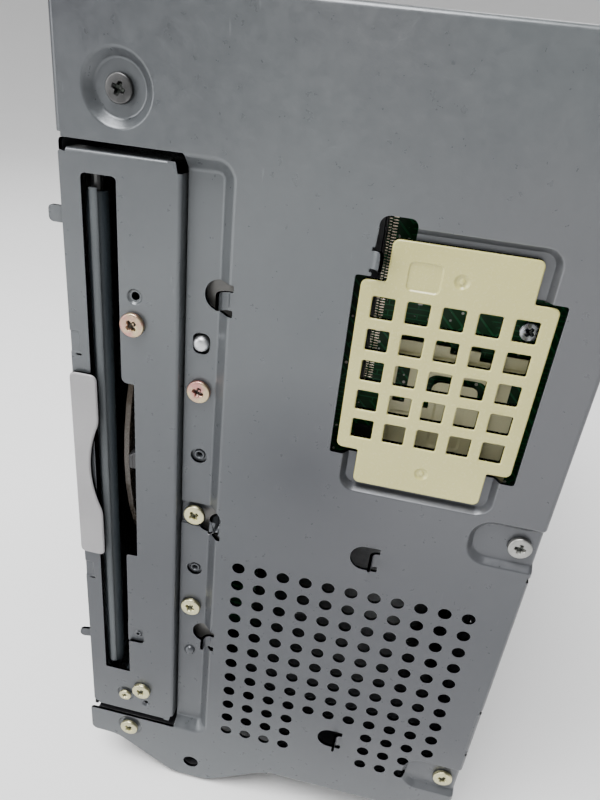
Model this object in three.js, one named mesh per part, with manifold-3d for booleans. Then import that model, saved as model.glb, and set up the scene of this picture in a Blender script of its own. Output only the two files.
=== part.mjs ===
// A compact desktop computer tower without its outer plastic shell: a steel chassis that stands
// upright, with a slot-loading disc drive behind a bracket on the left of a punched front plate.
// Millimetres, +Z up, front towards -Y. The origin is on the floor under the middle of the chassis.
import * as THREE from "three";
import { mergeVertices } from "three/addons/utils/BufferGeometryUtils.js";
import Module from "manifold-3d";

const wasm = await Module();
wasm.setup();

// Chassis
const caseWidth = 115;
const caseDepth = 200;
const caseTop = 224.5;
const caseBottom = 12.8;
const sheet = 0.8; // steel thickness
const gap = 0.3; // between neighbouring pieces
const proud = 3; // how far hooks in front and fittings behind stand out
const tabReach = 3.6; // how far the shell's tabs stand out at the sides
const flange = 12; // depth of the front plate's return flanges

// Front plate. Places on the face are x from the middle and z from the floor.
const ventPitch = 6;
const ventRadius = 1.7;
const ventFirst = [-13.5, 95.2]; // x and z of the upper left hole
const ventColumns = 11;
const ventRows = 12;
const bay = { right: -30.5, bottom: 23.9, top: 196.3 }; // cut-out for the drive bracket
const channel = { left: -34, right: -19.5, bottom: 23.8, top: 196.6, depth: 2.8, slope: 3.8 };
const grilleHole = { left: 5.7, right: 47.3, bottom: 136.2, top: 178.1 };
const grillePress = { left: 8.6, right: 44.4, bottom: 126.4, top: 188.8, depth: 2, slope: 1.6 };
const screwDish = { x: -44.1, z: 206.2, floor: 5, rim: 7.5, depth: 2 };
const edgeDish = { left: 42.7, slope: 2.1, depth: 1.7, height: 9.1, screwX: 53, lifts: [119.4, 31] };
const pinAt = [-26.3, 156.4];
const rivetAt = [-27, 57.4];
const standHole = { x: -24.5, z: 8.8, radius: 2.45 };

// Face screws: name, x, z, depth of the seat below the plate's face
const faceScrews = [
  ["screw_top", screwDish.x, screwDish.z, screwDish.depth],
  ["screw_bracket_upper", -41.6, 159, 0],
  ["screw_bracket_lower", -40.9, 38.3, 0],
  ["screw_channel_upper", -26.7, 144, channel.depth],
  ["screw_channel_middle", -26.7, 108, channel.depth],
  ["screw_channel_lower", -26.9, 75.5, channel.depth],
  ["screw_bottom_left", -45.2, 19.7, 0],
  ["screw_edge_upper", edgeDish.screwX, edgeDish.lifts[0], edgeDish.depth],
  ["screw_edge_lower", edgeDish.screwX, edgeDish.lifts[1], edgeDish.depth],
];
const smallScrewAt = [-46.3, 34.7];

// Upright disc drive
const slot = { left: -52.5, right: -44.8, bottom: 45, top: 190 };
const fingerNotch = { right: -41.7, bottom: 91.6, top: 143.8 };
const roller = { x: -51.2, depth: 4.6, radius: 2.5, bottom: 45, top: 186 };
const discX = -48.05; // middle plane of a disc in the drive
const spindleY = -30;
const spindleZ = 118.6;
const discRadius = 60;
const drive = { left: -56.1, right: -36, front: -98.6, back: 52, bottom: 32, top: 192.8 };

// Rear
const fanX = 20;
const fanZ = 78;
const fanSize = 60;

const frontY = -caseDepth / 2;
const rearY = caseDepth / 2;
const half = caseWidth / 2;

// Turns a closed three.js geometry into a solid that can be joined and cut.
function solidOf(geometry) {
  const bare = geometry.clone();
  bare.deleteAttribute("normal");
  bare.deleteAttribute("uv");
  const merged = mergeVertices(bare, 1e-4);
  const mesh = new wasm.Mesh({
    numProp: 3,
    vertProperties: merged.attributes.position.array,
    triVerts: new Uint32Array(merged.index.array),
  });
  return new wasm.Manifold(mesh);
}

// Turns a solid back into a geometry with flat faces.
function geometryOf(solid) {
  const mesh = solid.getMesh();
  const geometry = new THREE.BufferGeometry();
  geometry.setAttribute("position", new THREE.BufferAttribute(mesh.vertProperties, 3));
  geometry.setIndex(new THREE.BufferAttribute(mesh.triVerts, 1));
  const flat = geometry.toNonIndexed();
  flat.computeVertexNormals();
  return flat;
}

const join = (solids) => solids.reduce((whole, next) => whole.add(next));
const cut = (solid, cutters) => solid.subtract(join(cutters));

function box(x0, x1, y0, y1, z0, z1) {
  const geometry = new THREE.BoxGeometry(x1 - x0, y1 - y0, z1 - z0);
  return solidOf(geometry.translate((x0 + x1) / 2, (y0 + y1) / 2, (z0 + z1) / 2));
}

// Turns a geometry made along +Z so that it runs along the named axis. The other two keep their
// reading order: X then Z in front, Y then Z at the side, X then Y on top.
const turns = {
  x: new THREE.Matrix4().makeBasis(
    new THREE.Vector3(0, 1, 0),
    new THREE.Vector3(0, 0, 1),
    new THREE.Vector3(1, 0, 0),
  ),
  y: new THREE.Matrix4().makeBasis(
    new THREE.Vector3(1, 0, 0),
    new THREE.Vector3(0, 0, 1),
    new THREE.Vector3(0, -1, 0),
  ),
  z: new THREE.Matrix4(),
};

// A straight slab of the outline [[a, b], ...] from one place on the axis to another.
function slab(axis, outline, from, to) {
  const shape = new THREE.Shape(outline.map(([a, b]) => new THREE.Vector2(a, b)));
  const geometry = new THREE.ExtrudeGeometry(shape, { depth: to - from, bevelEnabled: false });
  geometry.translate(0, 0, axis === "y" ? -to : from);
  return solidOf(geometry.applyMatrix4(turns[axis]));
}

// A round bar or cone frustum along an axis, through the point [a, b] of the other two.
function bar(axis, [a, b], radius, from, to, sides = 12, farRadius = radius) {
  const geometry = new THREE.CylinderGeometry(
    axis === "y" ? radius : farRadius,
    axis === "y" ? farRadius : radius,
    to - from,
    sides,
  );
  geometry.rotateX(Math.PI / 2);
  geometry.translate(a, b, axis === "y" ? -(from + to) / 2 : (from + to) / 2);
  return solidOf(geometry.applyMatrix4(turns[axis]));
}

// An outline whose corners [a, b, radius] are rounded off with arcs.
function rounded(corners, steps = 3) {
  const outline = [];
  corners.forEach(([a, b, radius = 0], i) => {
    const here = new THREE.Vector2(a, b);
    const before = corners[(i + corners.length - 1) % corners.length];
    const after = corners[(i + 1) % corners.length];
    const back = new THREE.Vector2(before[0], before[1]).sub(here).normalize();
    const on = new THREE.Vector2(after[0], after[1]).sub(here).normalize();
    const halfAngle = Math.acos(back.dot(on)) / 2;
    if (radius === 0) {
      outline.push([a, b]);
      return;
    }
    const middle = back.clone().add(on).setLength(radius / Math.sin(halfAngle)).add(here);
    const start = back.multiplyScalar(radius / Math.tan(halfAngle)).add(here).sub(middle);
    const end = on.multiplyScalar(radius / Math.tan(halfAngle)).add(here).sub(middle);
    const sweep = Math.atan2(start.cross(end), start.dot(end));
    for (let k = 0; k <= steps; k += 1) {
      const turned = start.clone().rotateAround(new THREE.Vector2(), (sweep * k) / steps);
      outline.push([middle.x + turned.x, middle.y + turned.y]);
    }
  });
  return outline;
}

function rectangle(left, right, bottom, top, radius = 0, steps = 3) {
  const corners = [[left, bottom], [right, bottom], [right, top], [left, top]];
  return rounded(corners.map(([a, b]) => [a, b, radius]), steps);
}

// A pressed hollow in a sheet that faces -Y at y = 0: the outline is that of the floor, and the
// wall slopes out by the given width on its way up to the face.
function pressing(outline, depth, slope) {
  const shape = new THREE.Shape(outline.map(([a, b]) => new THREE.Vector2(a, b)));
  const geometry = new THREE.ExtrudeGeometry(shape, {
    depth: sheet * 4,
    bevelThickness: depth,
    bevelSize: slope,
    bevelSegments: 1,
  });
  return solidOf(geometry.applyMatrix4(turns.y));
}

function colour(hex, roughness, metalness = 0) {
  return new THREE.MeshStandardMaterial({ color: hex, roughness, metalness });
}

const finish = {
  steel: colour(0x868c90, 0.45, 0.7),
  cream: colour(0xcfcab2, 0.4),
  whiteTrim: colour(0xc6c4c4, 0.45),
  zinc: colour(0xcfc8a6, 0.3, 0.9),
  bright: colour(0xc9ccd0, 0.25, 1),
  blackPlastic: colour(0x1b1c1e, 0.5),
  rubber: colour(0x2b333a, 0.75),
  smoke: colour(0x3a332b, 0.35),
  board: colour(0x1f6b3c, 0.5),
  beige: colour(0xb9ad93, 0.5),
  aluminium: colour(0xb4b8bb, 0.35, 0.9),
};

const tower = new THREE.Group();

function place(group, name, solid, material) {
  const mesh = new THREE.Mesh(geometryOf(solid), material);
  mesh.name = name;
  group.add(mesh);
  return mesh;
}

function groupAt(parent, x, y, z) {
  const group = new THREE.Group();
  group.position.set(x, y, z);
  parent.add(group);
  return group;
}

// ---- Front: y = 0 is the plate's outer face and y grows into the case.
const front = groupAt(tower, 0, frontY, 0);

function ventHoles() {
  const holes = [];
  for (let row = 0; row < ventRows; row += 1) {
    for (let column = 0; column < ventColumns; column += 1) {
      const besideHook = row > 8 && column > 3 && column < 7;
      const besideDish = row > 9 && column > 9;
      if (!besideHook && !besideDish) {
        const centre = [ventFirst[0] + column * ventPitch, ventFirst[1] - row * ventPitch];
        holes.push(bar("y", centre, ventRadius, -1, 2, 6));
      }
    }
  }
  return holes;
}

// Bores in the front sheets for the screws' shanks, the pin and the rivet.
function shankBores() {
  const bores = faceScrews.map(([, x, z]) => bar("y", [x, z], 1.5, -1, 8, 10));
  bores.push(bar("y", smallScrewAt, 1.1, -1, 8, 10));
  bores.push(bar("y", pinAt, 2.1, 1, 8, 12));
  bores.push(bar("y", rivetAt, 1.3, 1, 8, 10));
  return join(bores);
}
const bores = shankBores();

// A hole with a round left end, where a tab is bent out of the sheet at its straight right end.
function hookHole(left, z, reach) {
  const height = 7.2;
  const right = left + height;
  const corners = [
    [left, z - height / 2, height / 2 - 0.1],
    [right, z - height / 2],
    [right, z + height / 2],
    [left, z + height / 2, height / 2 - 0.1],
  ];
  const hole = slab("y", rounded(corners), -1, 6);
  const tab = box(right - 1, right + 0.4, -reach, 3.4, z - 1.9, z + 2.1);
  return { hole, tab };
}

function frontPlate() {
  const outline = rounded([
    [-half, caseTop, 1],
    [-half, bay.bottom],
    [-half - 1, bay.bottom - 0.4, 0.6],
    [-half - 1, 13.6, 1.8],
    [-49.8, 13.6, 12],
    [-30.9, 1.6, 10],
    [-18.9, 1.6, 12],
    [-0.9, caseBottom, 10],
    [half, caseBottom, 1],
    [half, caseTop, 1],
  ]);
  const backs = [];
  const hollows = [];
  const addPressing = (inner, outer, depth, slope) => {
    hollows.push(pressing(inner, depth, slope));
    backs.push(pressing(outer, depth + sheet, slope).intersect(box(-70, 70, 0, 9, 0, 240)));
  };
  const press = (at, radius) => {
    const inset = at.slope;
    const floor = [at.left + inset, at.right - inset, at.bottom + inset, at.top - inset];
    const back = [floor[0] - sheet, floor[1] + sheet, floor[2] - sheet, floor[3] + sheet];
    addPressing(
      rectangle(...floor, radius),
      rectangle(...back, radius + sheet),
      at.depth,
      at.slope,
    );
  };
  press({ ...channel, left: channel.left - channel.slope }, 0.8);
  press(grillePress, 2.4);
  for (const z of edgeDish.lifts) {
    const low = z - edgeDish.height / 2;
    const high = z + edgeDish.height / 2;
    addPressing(
      rounded([[edgeDish.left, low, 3.6], [half + 9, low], [half + 9, high], [edgeDish.left, high, 3.6]]),
      rounded([
        [edgeDish.left - sheet, low - sheet, 4],
        [half + 9, low - sheet],
        [half + 9, high + sheet],
        [edgeDish.left - sheet, high + sheet, 4],
      ]),
      edgeDish.depth,
      edgeDish.slope,
    );
  }
  const dishAt = [screwDish.x, screwDish.z];
  const { rim, floor, depth } = screwDish;
  backs.push(bar("y", dishAt, rim + sheet, 0, depth + sheet, 24, floor + sheet));
  hollows.push(bar("y", dishAt, rim + 0.6, -0.5, depth, 24, floor));
  const hooks = [hookHole(14.6, 107.4, proud), hookHole(14.6, 37.2, proud)];
  for (const z of [167.9, 106.4, 65.7]) {
    hooks.push(hookHole(-26.2, z, 0.4));
  }
  const beyond = [
    box(half, half + 20, -5, 9, 0, 240),
    box(-70, bay.right, -5, 9, bay.bottom, bay.top),
    box(grilleHole.left, grilleHole.right, -5, 9, grilleHole.bottom, grilleHole.top),
    box(8.9, 16.3, -5, 9, 178, 190.3),
    bar("y", [standHole.x, standHole.z], standHole.radius, -1, 2, 16),
    bores,
  ];
  const body = join([slab("y", outline, 0, sheet), ...backs]);
  const pressed = cut(body, [...hollows, ...beyond, ...ventHoles(), ...hooks.map((h) => h.hole)]);
  const returns = [
    box(-half, -half + sheet, 0.2, flange, bay.top + 0.5, caseTop - 0.5),
    box(half - sheet, half, edgeDish.depth, flange, caseBottom + 0.5, caseTop - 0.5),
    box(-half + 0.5, half - 0.5, 0.2, flange, caseTop - sheet, caseTop),
    box(-0.5, half - 0.5, 0.2, flange, caseBottom, caseBottom + sheet),
  ];
  return join([pressed, ...returns, ...hooks.map((h) => h.tab)]);
}

function driveBracket() {
  const face = { left: -57.1, right: -30.9, bottom: 26.5, top: 194.5 };
  const sheetFace = slab("y", rectangle(face.left, face.right, face.bottom, face.top, 0.6), 0, sheet);
  const folds = [
    box(face.right - sheet, face.right, 0.2, 34, face.bottom + 3, face.top - 3),
    box(face.left + 1.5, face.right - 3, 0.2, 5, face.top - sheet, face.top),
    box(face.left + 1.5, face.right - 3, 0.2, 5, face.bottom, face.bottom + sheet),
  ];
  const openings = [
    slab("y", rectangle(slot.left, slot.right, slot.bottom, slot.top, 0.9), -1, 2),
    slab("y", rectangle(-46, fingerNotch.right, fingerNotch.bottom, fingerNotch.top, 1.5), -1, 2),
    bar("y", [-41.2, 165.4], 1, -1, 2, 10),
    bar("y", [-41.9, 61.3], 0.8, -1, 2, 10),
    bores,
  ];
  return cut(join([sheetFace, ...folds]), openings);
}

// The scalloped plastic edge strip that leaves room for a finger beside the slot.
function fingerTrim() {
  const trim = { left: -57.3, right: -50.5, bottom: 90.7, top: 144.9 };
  const scallop = bar("y", [trim.right + 30.8, spindleZ], 33.5, -2, 3, 48);
  return cut(slab("y", rectangle(trim.left, trim.right, trim.bottom, trim.top, 1.5), -1.5, -gap), [scallop]);
}

function grilleCover() {
  const wide = rectangle(7, 46.1, 137.8, 177.4, 1.4);
  const tongue = rectangle(12, 41, 129.1, 186.1, 1.2);
  const body = join([slab("y", wide, 0.2, 1.7), slab("y", tongue, 0.2, 1.7)]);
  const holes = [];
  for (let row = 0; row < 5; row += 1) {
    for (let column = 0; column < 5; column += 1) {
      const x = 12.15 + column * 7.16;
      const z = 171.7 - row * 7.1;
      holes.push(box(x - 2.32, x + 2.32, -1, 3, z - 2.32, z + 2.32));
    }
  }
  return cut(body, holes);
}

place(front, "front_plate", frontPlate(), finish.steel);
place(front, "drive_bracket", driveBracket(), finish.steel);
place(front, "finger_relief_trim", fingerTrim(), finish.whiteTrim);
place(front, "grille_cover", grilleCover(), finish.cream);

// Flat round screw head with a short shank behind it, seen from -Y.
function screw(headRadius, headHeight, shankRadius, length) {
  const profile = [
    [0, -headHeight],
    [headRadius * 0.8, -headHeight],
    [headRadius, -headHeight * 0.55],
    [headRadius, 0],
    [shankRadius, 0],
    [shankRadius, length],
    [0, length],
  ];
  const points = profile.map(([r, y]) => new THREE.Vector2(r, y));
  return solidOf(new THREE.LatheGeometry(points, 12));
}

const largeScrew = screw(2.8, 1.1, 1.2, 5);
const smallScrew = screw(1.9, 0.8, 0.8, 4);

function seatScrew(name, x, z, seat, solid) {
  const mesh = place(front, name, solid, finish.zinc);
  mesh.position.set(x, seat - gap, z);
}
for (const [name, x, z, seat] of faceScrews) {
  seatScrew(name, x, z, seat, largeScrew);
}
seatScrew("screw_bracket_small", ...smallScrewAt, 0, smallScrew);

place(front, "locating_pin", bar("y", pinAt, 1.8, 1.6, 9, 14), finish.bright);
place(
  front,
  "channel_rivet",
  join([
    bar("y", rivetAt, 1.6, channel.depth - 1.1, channel.depth - gap, 12),
    bar("y", rivetAt, 1, channel.depth - gap, 5, 12),
  ]),
  finish.steel,
);

// ---- Covers, base, rear panel and feet
function ventSlots(axis, from, to, first, step, count, low, high) {
  const slots = [];
  for (let i = 0; i < count; i += 1) {
    const middle = first + i * step;
    slots.push(slab(axis, rectangle(middle - 1.5, middle + 1.5, low, high, 1.3, 1), from, to));
  }
  return slots;
}

const coverFront = frontY + flange + gap;
const coverBack = rearY - sheet - gap;

function sideOutline(tongueBottom, tongueTop) {
  const tongueFront = frontY + sheet + gap;
  return [
    [coverBack, caseBottom],
    [coverBack, caseTop],
    [coverFront, caseTop],
    [coverFront, tongueTop],
    [tongueFront, tongueTop],
    [tongueFront, tongueBottom],
    [coverFront, tongueBottom],
    [coverFront, caseBottom],
  ];
}

function leftCover() {
  const body = slab("x", sideOutline(bay.bottom + 0.4, bay.top - 0.4), -half, -half + sheet);
  const tabs = [
    box(-half - tabReach, -half + 0.2, frontY + 1.4, frontY + 3, 179.3, 183.3),
    box(-half - tabReach, -half + 0.2, frontY + 1.4, frontY + 3, 54.5, 57.5),
  ];
  return cut(join([body, ...tabs]), ventSlots("x", -half - 1, -half + 2, 0, 7, 9, 30, 48));
}

function rightCover() {
  const outline = [
    [coverBack, caseBottom],
    [coverBack, caseTop],
    [coverFront, caseTop],
    [coverFront, caseBottom],
  ];
  const body = slab("x", outline, half - sheet, half);
  const tabs = [
    box(half - 0.2, half + tabReach, -62, -60.4, 179.3, 183.3),
    box(half - 0.2, half + tabReach, -62, -60.4, 54.5, 58.5),
  ];
  const slots = [
    ...ventSlots("x", half - 2, half + 1, 10, 7, 8, 84, 106),
    ...ventSlots("x", half - 2, half + 1, 10, 7, 8, 54, 76),
  ];
  return cut(join([body, ...tabs]), slots);
}

const inner = half - sheet - gap;
place(tower, "left_cover", leftCover(), finish.steel);
place(tower, "right_cover", rightCover(), finish.steel);
place(
  tower,
  "top_cover",
  cut(
    box(-inner, inner, coverFront, coverBack, caseTop - sheet, caseTop),
    ventSlots("z", caseTop - 2, caseTop + 1, -21, 7, 7, 40, 66),
  ),
  finish.steel,
);
place(
  tower,
  "base_pan",
  join([
    box(-inner, inner, coverFront, coverBack, caseBottom, caseBottom + sheet),
    box(-inner, -inner + sheet, coverFront, coverBack, caseBottom, caseBottom + 9),
    box(inner - sheet, inner, coverFront, coverBack, caseBottom, caseBottom + 9),
  ]),
  finish.steel,
);

const footProfile = [[0, 0], [7, 0], [8, 1.2], [8, 12.5], [0, 12.5]];
const footGeometry = new THREE.LatheGeometry(
  footProfile.map(([r, y]) => new THREE.Vector2(r, y)),
  16,
);
footGeometry.rotateX(Math.PI / 2);
const foot = solidOf(footGeometry);
for (const [name, x, y] of [
  ["foot_front_left", -42, -78],
  ["foot_front_right", 42, -78],
  ["foot_rear_left", -42, 82],
  ["foot_rear_right", 42, 82],
]) {
  place(tower, name, foot, finish.rubber).position.set(x, y, 0);
}

// ---- Rear: y = 0 is the panel's outer face and y grows away from the case.
const rear = groupAt(tower, 0, rearY, 0);
const inletAt = [38, 196];
const switchAt = [8, 196];
const ports = { left: -27, right: -9, bottom: 118, top: 200 };

function rearPanel() {
  const holes = [
    box(ports.left - gap, ports.right + gap, -3, 1, ports.bottom - gap, ports.top + gap),
    box(inletAt[0] - 13.8, inletAt[0] + 13.8, -3, 1, inletAt[1] - 10, inletAt[1] + 10),
    box(switchAt[0] - 10, switchAt[0] + 10, -3, 1, switchAt[1] - 7, switchAt[1] + 7),
  ];
  const pitch = 7.4;
  for (let row = -4; row <= 4; row += 1) {
    for (let column = -4; column <= 4; column += 1) {
      const x = (column + (row % 2 === 0 ? 0 : 0.5)) * pitch;
      const z = row * pitch * Math.sin(Math.PI / 3);
      if (Math.hypot(x, z) < fanSize / 2 - 4.5) {
        holes.push(bar("y", [fanX + x, fanZ + z], 2.9, -3, 1, 6));
      }
    }
  }
  return cut(slab("y", rectangle(-half, half, caseBottom, caseTop, 0.8), -sheet, 0), holes);
}
place(rear, "rear_panel", rearPanel(), finish.steel);

function portBlock() {
  const body = box(ports.left, ports.right, -18, -0.2, ports.bottom, ports.top);
  return cut(body, [
    box(-24.5, -12.5, -14, 1, 124, 138),
    box(-24.5, -19.4, -14, 1, 145, 157.6),
    box(-16.6, -11.5, -14, 1, 145, 157.6),
    box(-20.6, -16, -12, 1, 164, 178.2),
    bar("y", [-18, 189], 1.9, -14, 1, 10),
  ]);
}
place(rear, "port_block", portBlock(), finish.blackPlastic);

function inletSocket() {
  const [x, z] = inletAt;
  const rim = slab("y", rectangle(x - 15.5, x + 15.5, z - 12, z + 12, 1.5), gap, proud);
  const sleeve = slab("y", rectangle(x - 13.5, x + 13.5, z - 9.7, z + 9.7, 1.5), -18, 1);
  const mouth = rounded([
    [x - 12, z - 8.2, 1],
    [x + 12, z - 8.2, 1],
    [x + 12, z + 3.5, 1],
    [x + 7.3, z + 8.2, 1],
    [x - 7.3, z + 8.2, 1],
    [x - 12, z + 3.5, 1],
  ]);
  const pins = [[x - 7, z - 1.2], [x, z + 3.4], [x + 7, z - 1.2]];
  const hollow = cut(join([rim, sleeve]), [slab("y", mouth, -14, 5)]);
  return join([hollow, ...pins.map(([a, b]) => box(a - 1, a + 1, -14.5, 0.5, b - 2, b + 2))]);
}
place(rear, "inlet_socket", inletSocket(), finish.blackPlastic);

function switchBezel() {
  const [x, z] = switchAt;
  return cut(
    join([
      slab("y", rectangle(x - 11.5, x + 11.5, z - 8.5, z + 8.5, 1.5), gap, 2),
      slab("y", rectangle(x - 9.7, x + 9.7, z - 6.7, z + 6.7, 0.8), -13, 1),
    ]),
    [box(x - 8.6, x + 8.6, -11.5, 3, z - 5.6, z + 5.6)],
  );
}
place(rear, "switch_bezel", switchBezel(), finish.blackPlastic);

// The rocker is drawn level about its pin and then tipped by its rest angle.
const rockerPin = -3.4;
const rockerTilt = THREE.MathUtils.degToRad(9);
function rocker() {
  const outline = [[-7.4, 4.4], [-6.6, -1.1], [6.6, -1.1], [7.4, 4.4], [0, 2.8]];
  return join([slab("z", outline, -5.1, 5.1), bar("z", [0, 0], 1.6, -5.1, 5.1)]);
}
const rockerMesh = place(rear, "rocker_switch", rocker(), finish.blackPlastic);
rockerMesh.position.set(switchAt[0], rockerPin, switchAt[1]);
rockerMesh.rotation.z = rockerTilt;

// ---- Fans: the frame and its motor, and the rotor with its blades, made along +Z.
function fanFrame(size, thickness) {
  const bore = size / 2 - 2;
  const outline = rectangle(-size / 2, size / 2, -size / 2, size / 2, 3);
  const shell = cut(slab("z", outline, 0, thickness), [bar("z", [0, 0], bore, -1, thickness + 1, 24)]);
  const struts = [
    box(-bore - 0.5, bore + 0.5, -1.2, 1.2, 0, 1.6),
    box(-1.2, 1.2, -bore - 0.5, bore + 0.5, 0, 1.6),
  ];
  const screws = [-1, 1].flatMap((a) =>
    [-1, 1].map((b) => bar("z", [a * (size / 2 - 4), b * (size / 2 - 4)], 1.7, -1, thickness + 1, 8)),
  );
  return cut(join([shell, ...struts, bar("z", [0, 0], size / 5, 0, 2.4, 20)]), screws);
}

function fanRotor(size, thickness, blades = 7) {
  const hub = bar("z", [0, 0], size / 5, 2.8, thickness - 1, 20);
  const tip = size / 2 - 3;
  const parts = [hub];
  for (let i = 0; i < blades; i += 1) {
    const length = tip - size / 8;
    const blade = new THREE.BoxGeometry(length, (thickness - 4.4) * 0.9, 1);
    blade.rotateX(THREE.MathUtils.degToRad(42));
    blade.translate(size / 8 + length / 2, 0, (thickness + 1.8) / 2);
    blade.rotateZ((2 * Math.PI * i) / blades);
    parts.push(solidOf(blade));
  }
  return join(parts).intersect(bar("z", [0, 0], tip, 2.8, thickness - 1, 24));
}

const rearFan = groupAt(tower, fanX, rearY - sheet - gap, fanZ);
rearFan.rotation.x = Math.PI / 2;
place(rearFan, "rear_fan_frame", fanFrame(fanSize, 20), finish.blackPlastic);
place(rearFan, "rear_fan_rotor", fanRotor(fanSize, 20), finish.blackPlastic);

// ---- Mainboard stands upright beside the drive, with its parts towards +X.
const boardX = -28.5;
const boardThick = 1.6;
const partsX = boardX + boardThick;
function mainboard() {
  const parts = [
    box(boardX, partsX, -74, 80, 24, 214),
    box(boardX, partsX + 11, -70, -60, 40, 60),
    box(boardX, partsX + 3, -40, -20, 160, 180),
    bar("x", [10, 170], 4, boardX, partsX + 10, 10),
    bar("x", [22, 170], 4, boardX, partsX + 10, 10),
    bar("x", [34, 170], 4, boardX, partsX + 10, 10),
    box(boardX, partsX + 8, 40, 52, 160, 182),
  ];
  return join(parts);
}
place(tower, "mainboard", mainboard(), finish.board);

const coolerX = partsX + gap;
function heatsink() {
  const parts = [box(coolerX, coolerX + 4, -8, 42, 66, 116)];
  for (let fin = 0; fin < 10; fin += 1) {
    const y = -8 + fin * 5.4;
    parts.push(box(coolerX, coolerX + 18, y, y + 1.4, 66, 116));
  }
  return join(parts);
}
place(tower, "heatsink", heatsink(), finish.aluminium);

const cpuFan = groupAt(tower, coolerX + 18 + gap, 17, 91);
cpuFan.rotation.y = Math.PI / 2;
place(cpuFan, "cpu_fan_frame", fanFrame(48, 12), finish.blackPlastic);
place(cpuFan, "cpu_fan_rotor", fanRotor(48, 12), finish.blackPlastic);

function memoryModule() {
  const parts = [box(0, 30, 0, 1.3, 0, 66)];
  for (let chip = 0; chip < 6; chip += 1) {
    const z = 3 + chip * 10.4;
    parts.push(box(6, 15, -1, 1, z, z + 8.4));
  }
  return join(parts);
}
place(tower, "memory_module", memoryModule(), finish.board).position.set(coolerX, -46, 70);

// ---- Power supply, hard disk
function supplyCase() {
  const shell = cut(box(-8, 55.2, 22, 98.6, 168, 218), [
    box(-7, 54.2, 20, 97.6, 169, 217),
    box(inletAt[0] - 14, inletAt[0] + 14, 80, 101, inletAt[1] - 10.2, inletAt[1] + 10.2),
    box(switchAt[0] - 10.2, switchAt[0] + 10.2, 80, 101, switchAt[1] - 7.2, switchAt[1] + 7.2),
  ]);
  return cut(shell, ventSlots("x", 54, 56, 40, 7, 6, 176, 210));
}
place(tower, "supply_case", supplyCase(), finish.steel);
place(
  tower,
  "supply_board",
  join([
    box(-4, 51, 26, 78, 171, 172.6),
    box(0, 22, 34, 56, 172, 196),
    bar("z", [34, 42], 9, 172, 200, 14),
    bar("z", [12, 68], 6, 172, 192, 12),
    box(28, 48, 56, 59, 172, 204),
  ]),
  finish.board,
);

place(
  tower,
  "hard_disk",
  join([
    slab("z", rectangle(-20, 50, -66, 34, 2.5), caseBottom + sheet + gap, 22),
    slab("z", rectangle(-16, 46, -40, 30, 12), 21, 23.4),
  ]),
  finish.aluminium,
);

// ---- Board, connector, screw and holder behind the grille
const boardDepth = 13;
place(
  front,
  "front_board",
  cut(slab("y", rectangle(2, 52, 116, 206, 1.5), boardDepth, boardDepth + 1.6), [
    bar("y", [44, 168], 1.5, 9, 18, 10),
  ]),
  finish.board,
);
place(front, "board_connector", box(9.2, 14.4, 6, boardDepth - gap, 148, 200), finish.blackPlastic);
const boardScrew = place(front, "board_screw", screw(2.6, 1.4, 1.2, 4), finish.bright);
boardScrew.position.set(44, boardDepth - gap, 168);
place(
  front,
  "board_holder",
  join([
    box(18.6, 38, 9.5, boardDepth - gap, 143, 163),
    box(18.6, 22, 7.5, boardDepth - gap, 143, 163),
  ]),
  finish.beige,
);

// ---- Disc drive. x = 0 is the middle plane of a disc, y and z = 0 are its spindle.
const mechanism = groupAt(tower, discX, spindleY, spindleZ);

function driveCase() {
  const { left, right, front: nose, back, bottom, top } = drive;
  return cut(box(left, right, nose, back, bottom, top), [
    box(left + sheet, right + 1, nose - 1, back - sheet, bottom + sheet, top - sheet),
  ]);
}
place(tower, "drive_case", driveCase(), finish.bright);
place(
  tower,
  "drive_lid",
  slab(
    "x",
    rectangle(drive.front, drive.back, drive.bottom, drive.top, 1),
    drive.right + gap,
    drive.right + gap + sheet,
  ),
  finish.bright,
);

// Guide wall beside the disc: round front edge, and a hole for the clamp over the spindle.
function discGuide() {
  const wallTop = drive.top - sheet - gap - spindleZ;
  const wallBottom = drive.bottom + sheet + gap - spindleZ;
  const guideFront = -discRadius - 5;
  const from = 0.9;
  const to = 2.4;
  const round = bar("x", [-5, 0], discRadius, from, to, 48);
  const wall = box(from, to, -50, 80, wallBottom, wallTop);
  const trimmed = join([round, wall]).intersect(box(from, to, guideFront, 80, wallBottom, wallTop));
  return cut(trimmed, [bar("x", [0, 0], 17, 0, 4, 32)]);
}
place(mechanism, "disc_guide", discGuide(), finish.smoke);

const sledX = -4.6;
const rodX = -4.6;
const rodLift = 17;
const leadDrop = -26;
const leadX = -3.6;
const rodFrom = 14;
const rodTo = 72;
place(
  mechanism,
  "spindle_motor",
  join([bar("x", [0, 0], 10, -7, -4, 24), box(-7, -5.5, -14, 14, -14, 14)]),
  finish.bright,
);
place(
  mechanism,
  "spindle_hub",
  join([bar("x", [0, 0], 13, -3.6, -0.9, 24), bar("x", [0, 0], 7.3, -1.2, 0.6, 20, 5.5)]),
  finish.blackPlastic,
);
function pickupSled() {
  const body = join([
    box(sledX - 2, sledX + 2, 20, 40, -22, 22),
    box(leadX - 2.6, leadX + 2.3, 24, 36, -30, -20),
    bar("x", [30, 0], 4, sledX + 1, sledX + 2.8, 16),
  ]);
  return cut(body, [
    bar("y", [rodX, rodLift], 1.2, 10, 50, 12),
    bar("y", [rodX, -rodLift], 1.2, 10, 50, 12),
    bar("y", [leadX, leadDrop], 1.5, 10, 50, 12),
  ]);
}
place(mechanism, "pickup_sled", pickupSled(), finish.bright);
place(mechanism, "guide_rod_upper", bar("y", [rodX, rodLift], 1, rodFrom, rodTo, 12), finish.bright);
place(mechanism, "guide_rod_lower", bar("y", [rodX, -rodLift], 1, rodFrom, rodTo, 12), finish.bright);
place(mechanism, "lead_screw", bar("y", [leadX, leadDrop], 1.25, rodFrom, rodTo - 1, 12), finish.bright);
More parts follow.
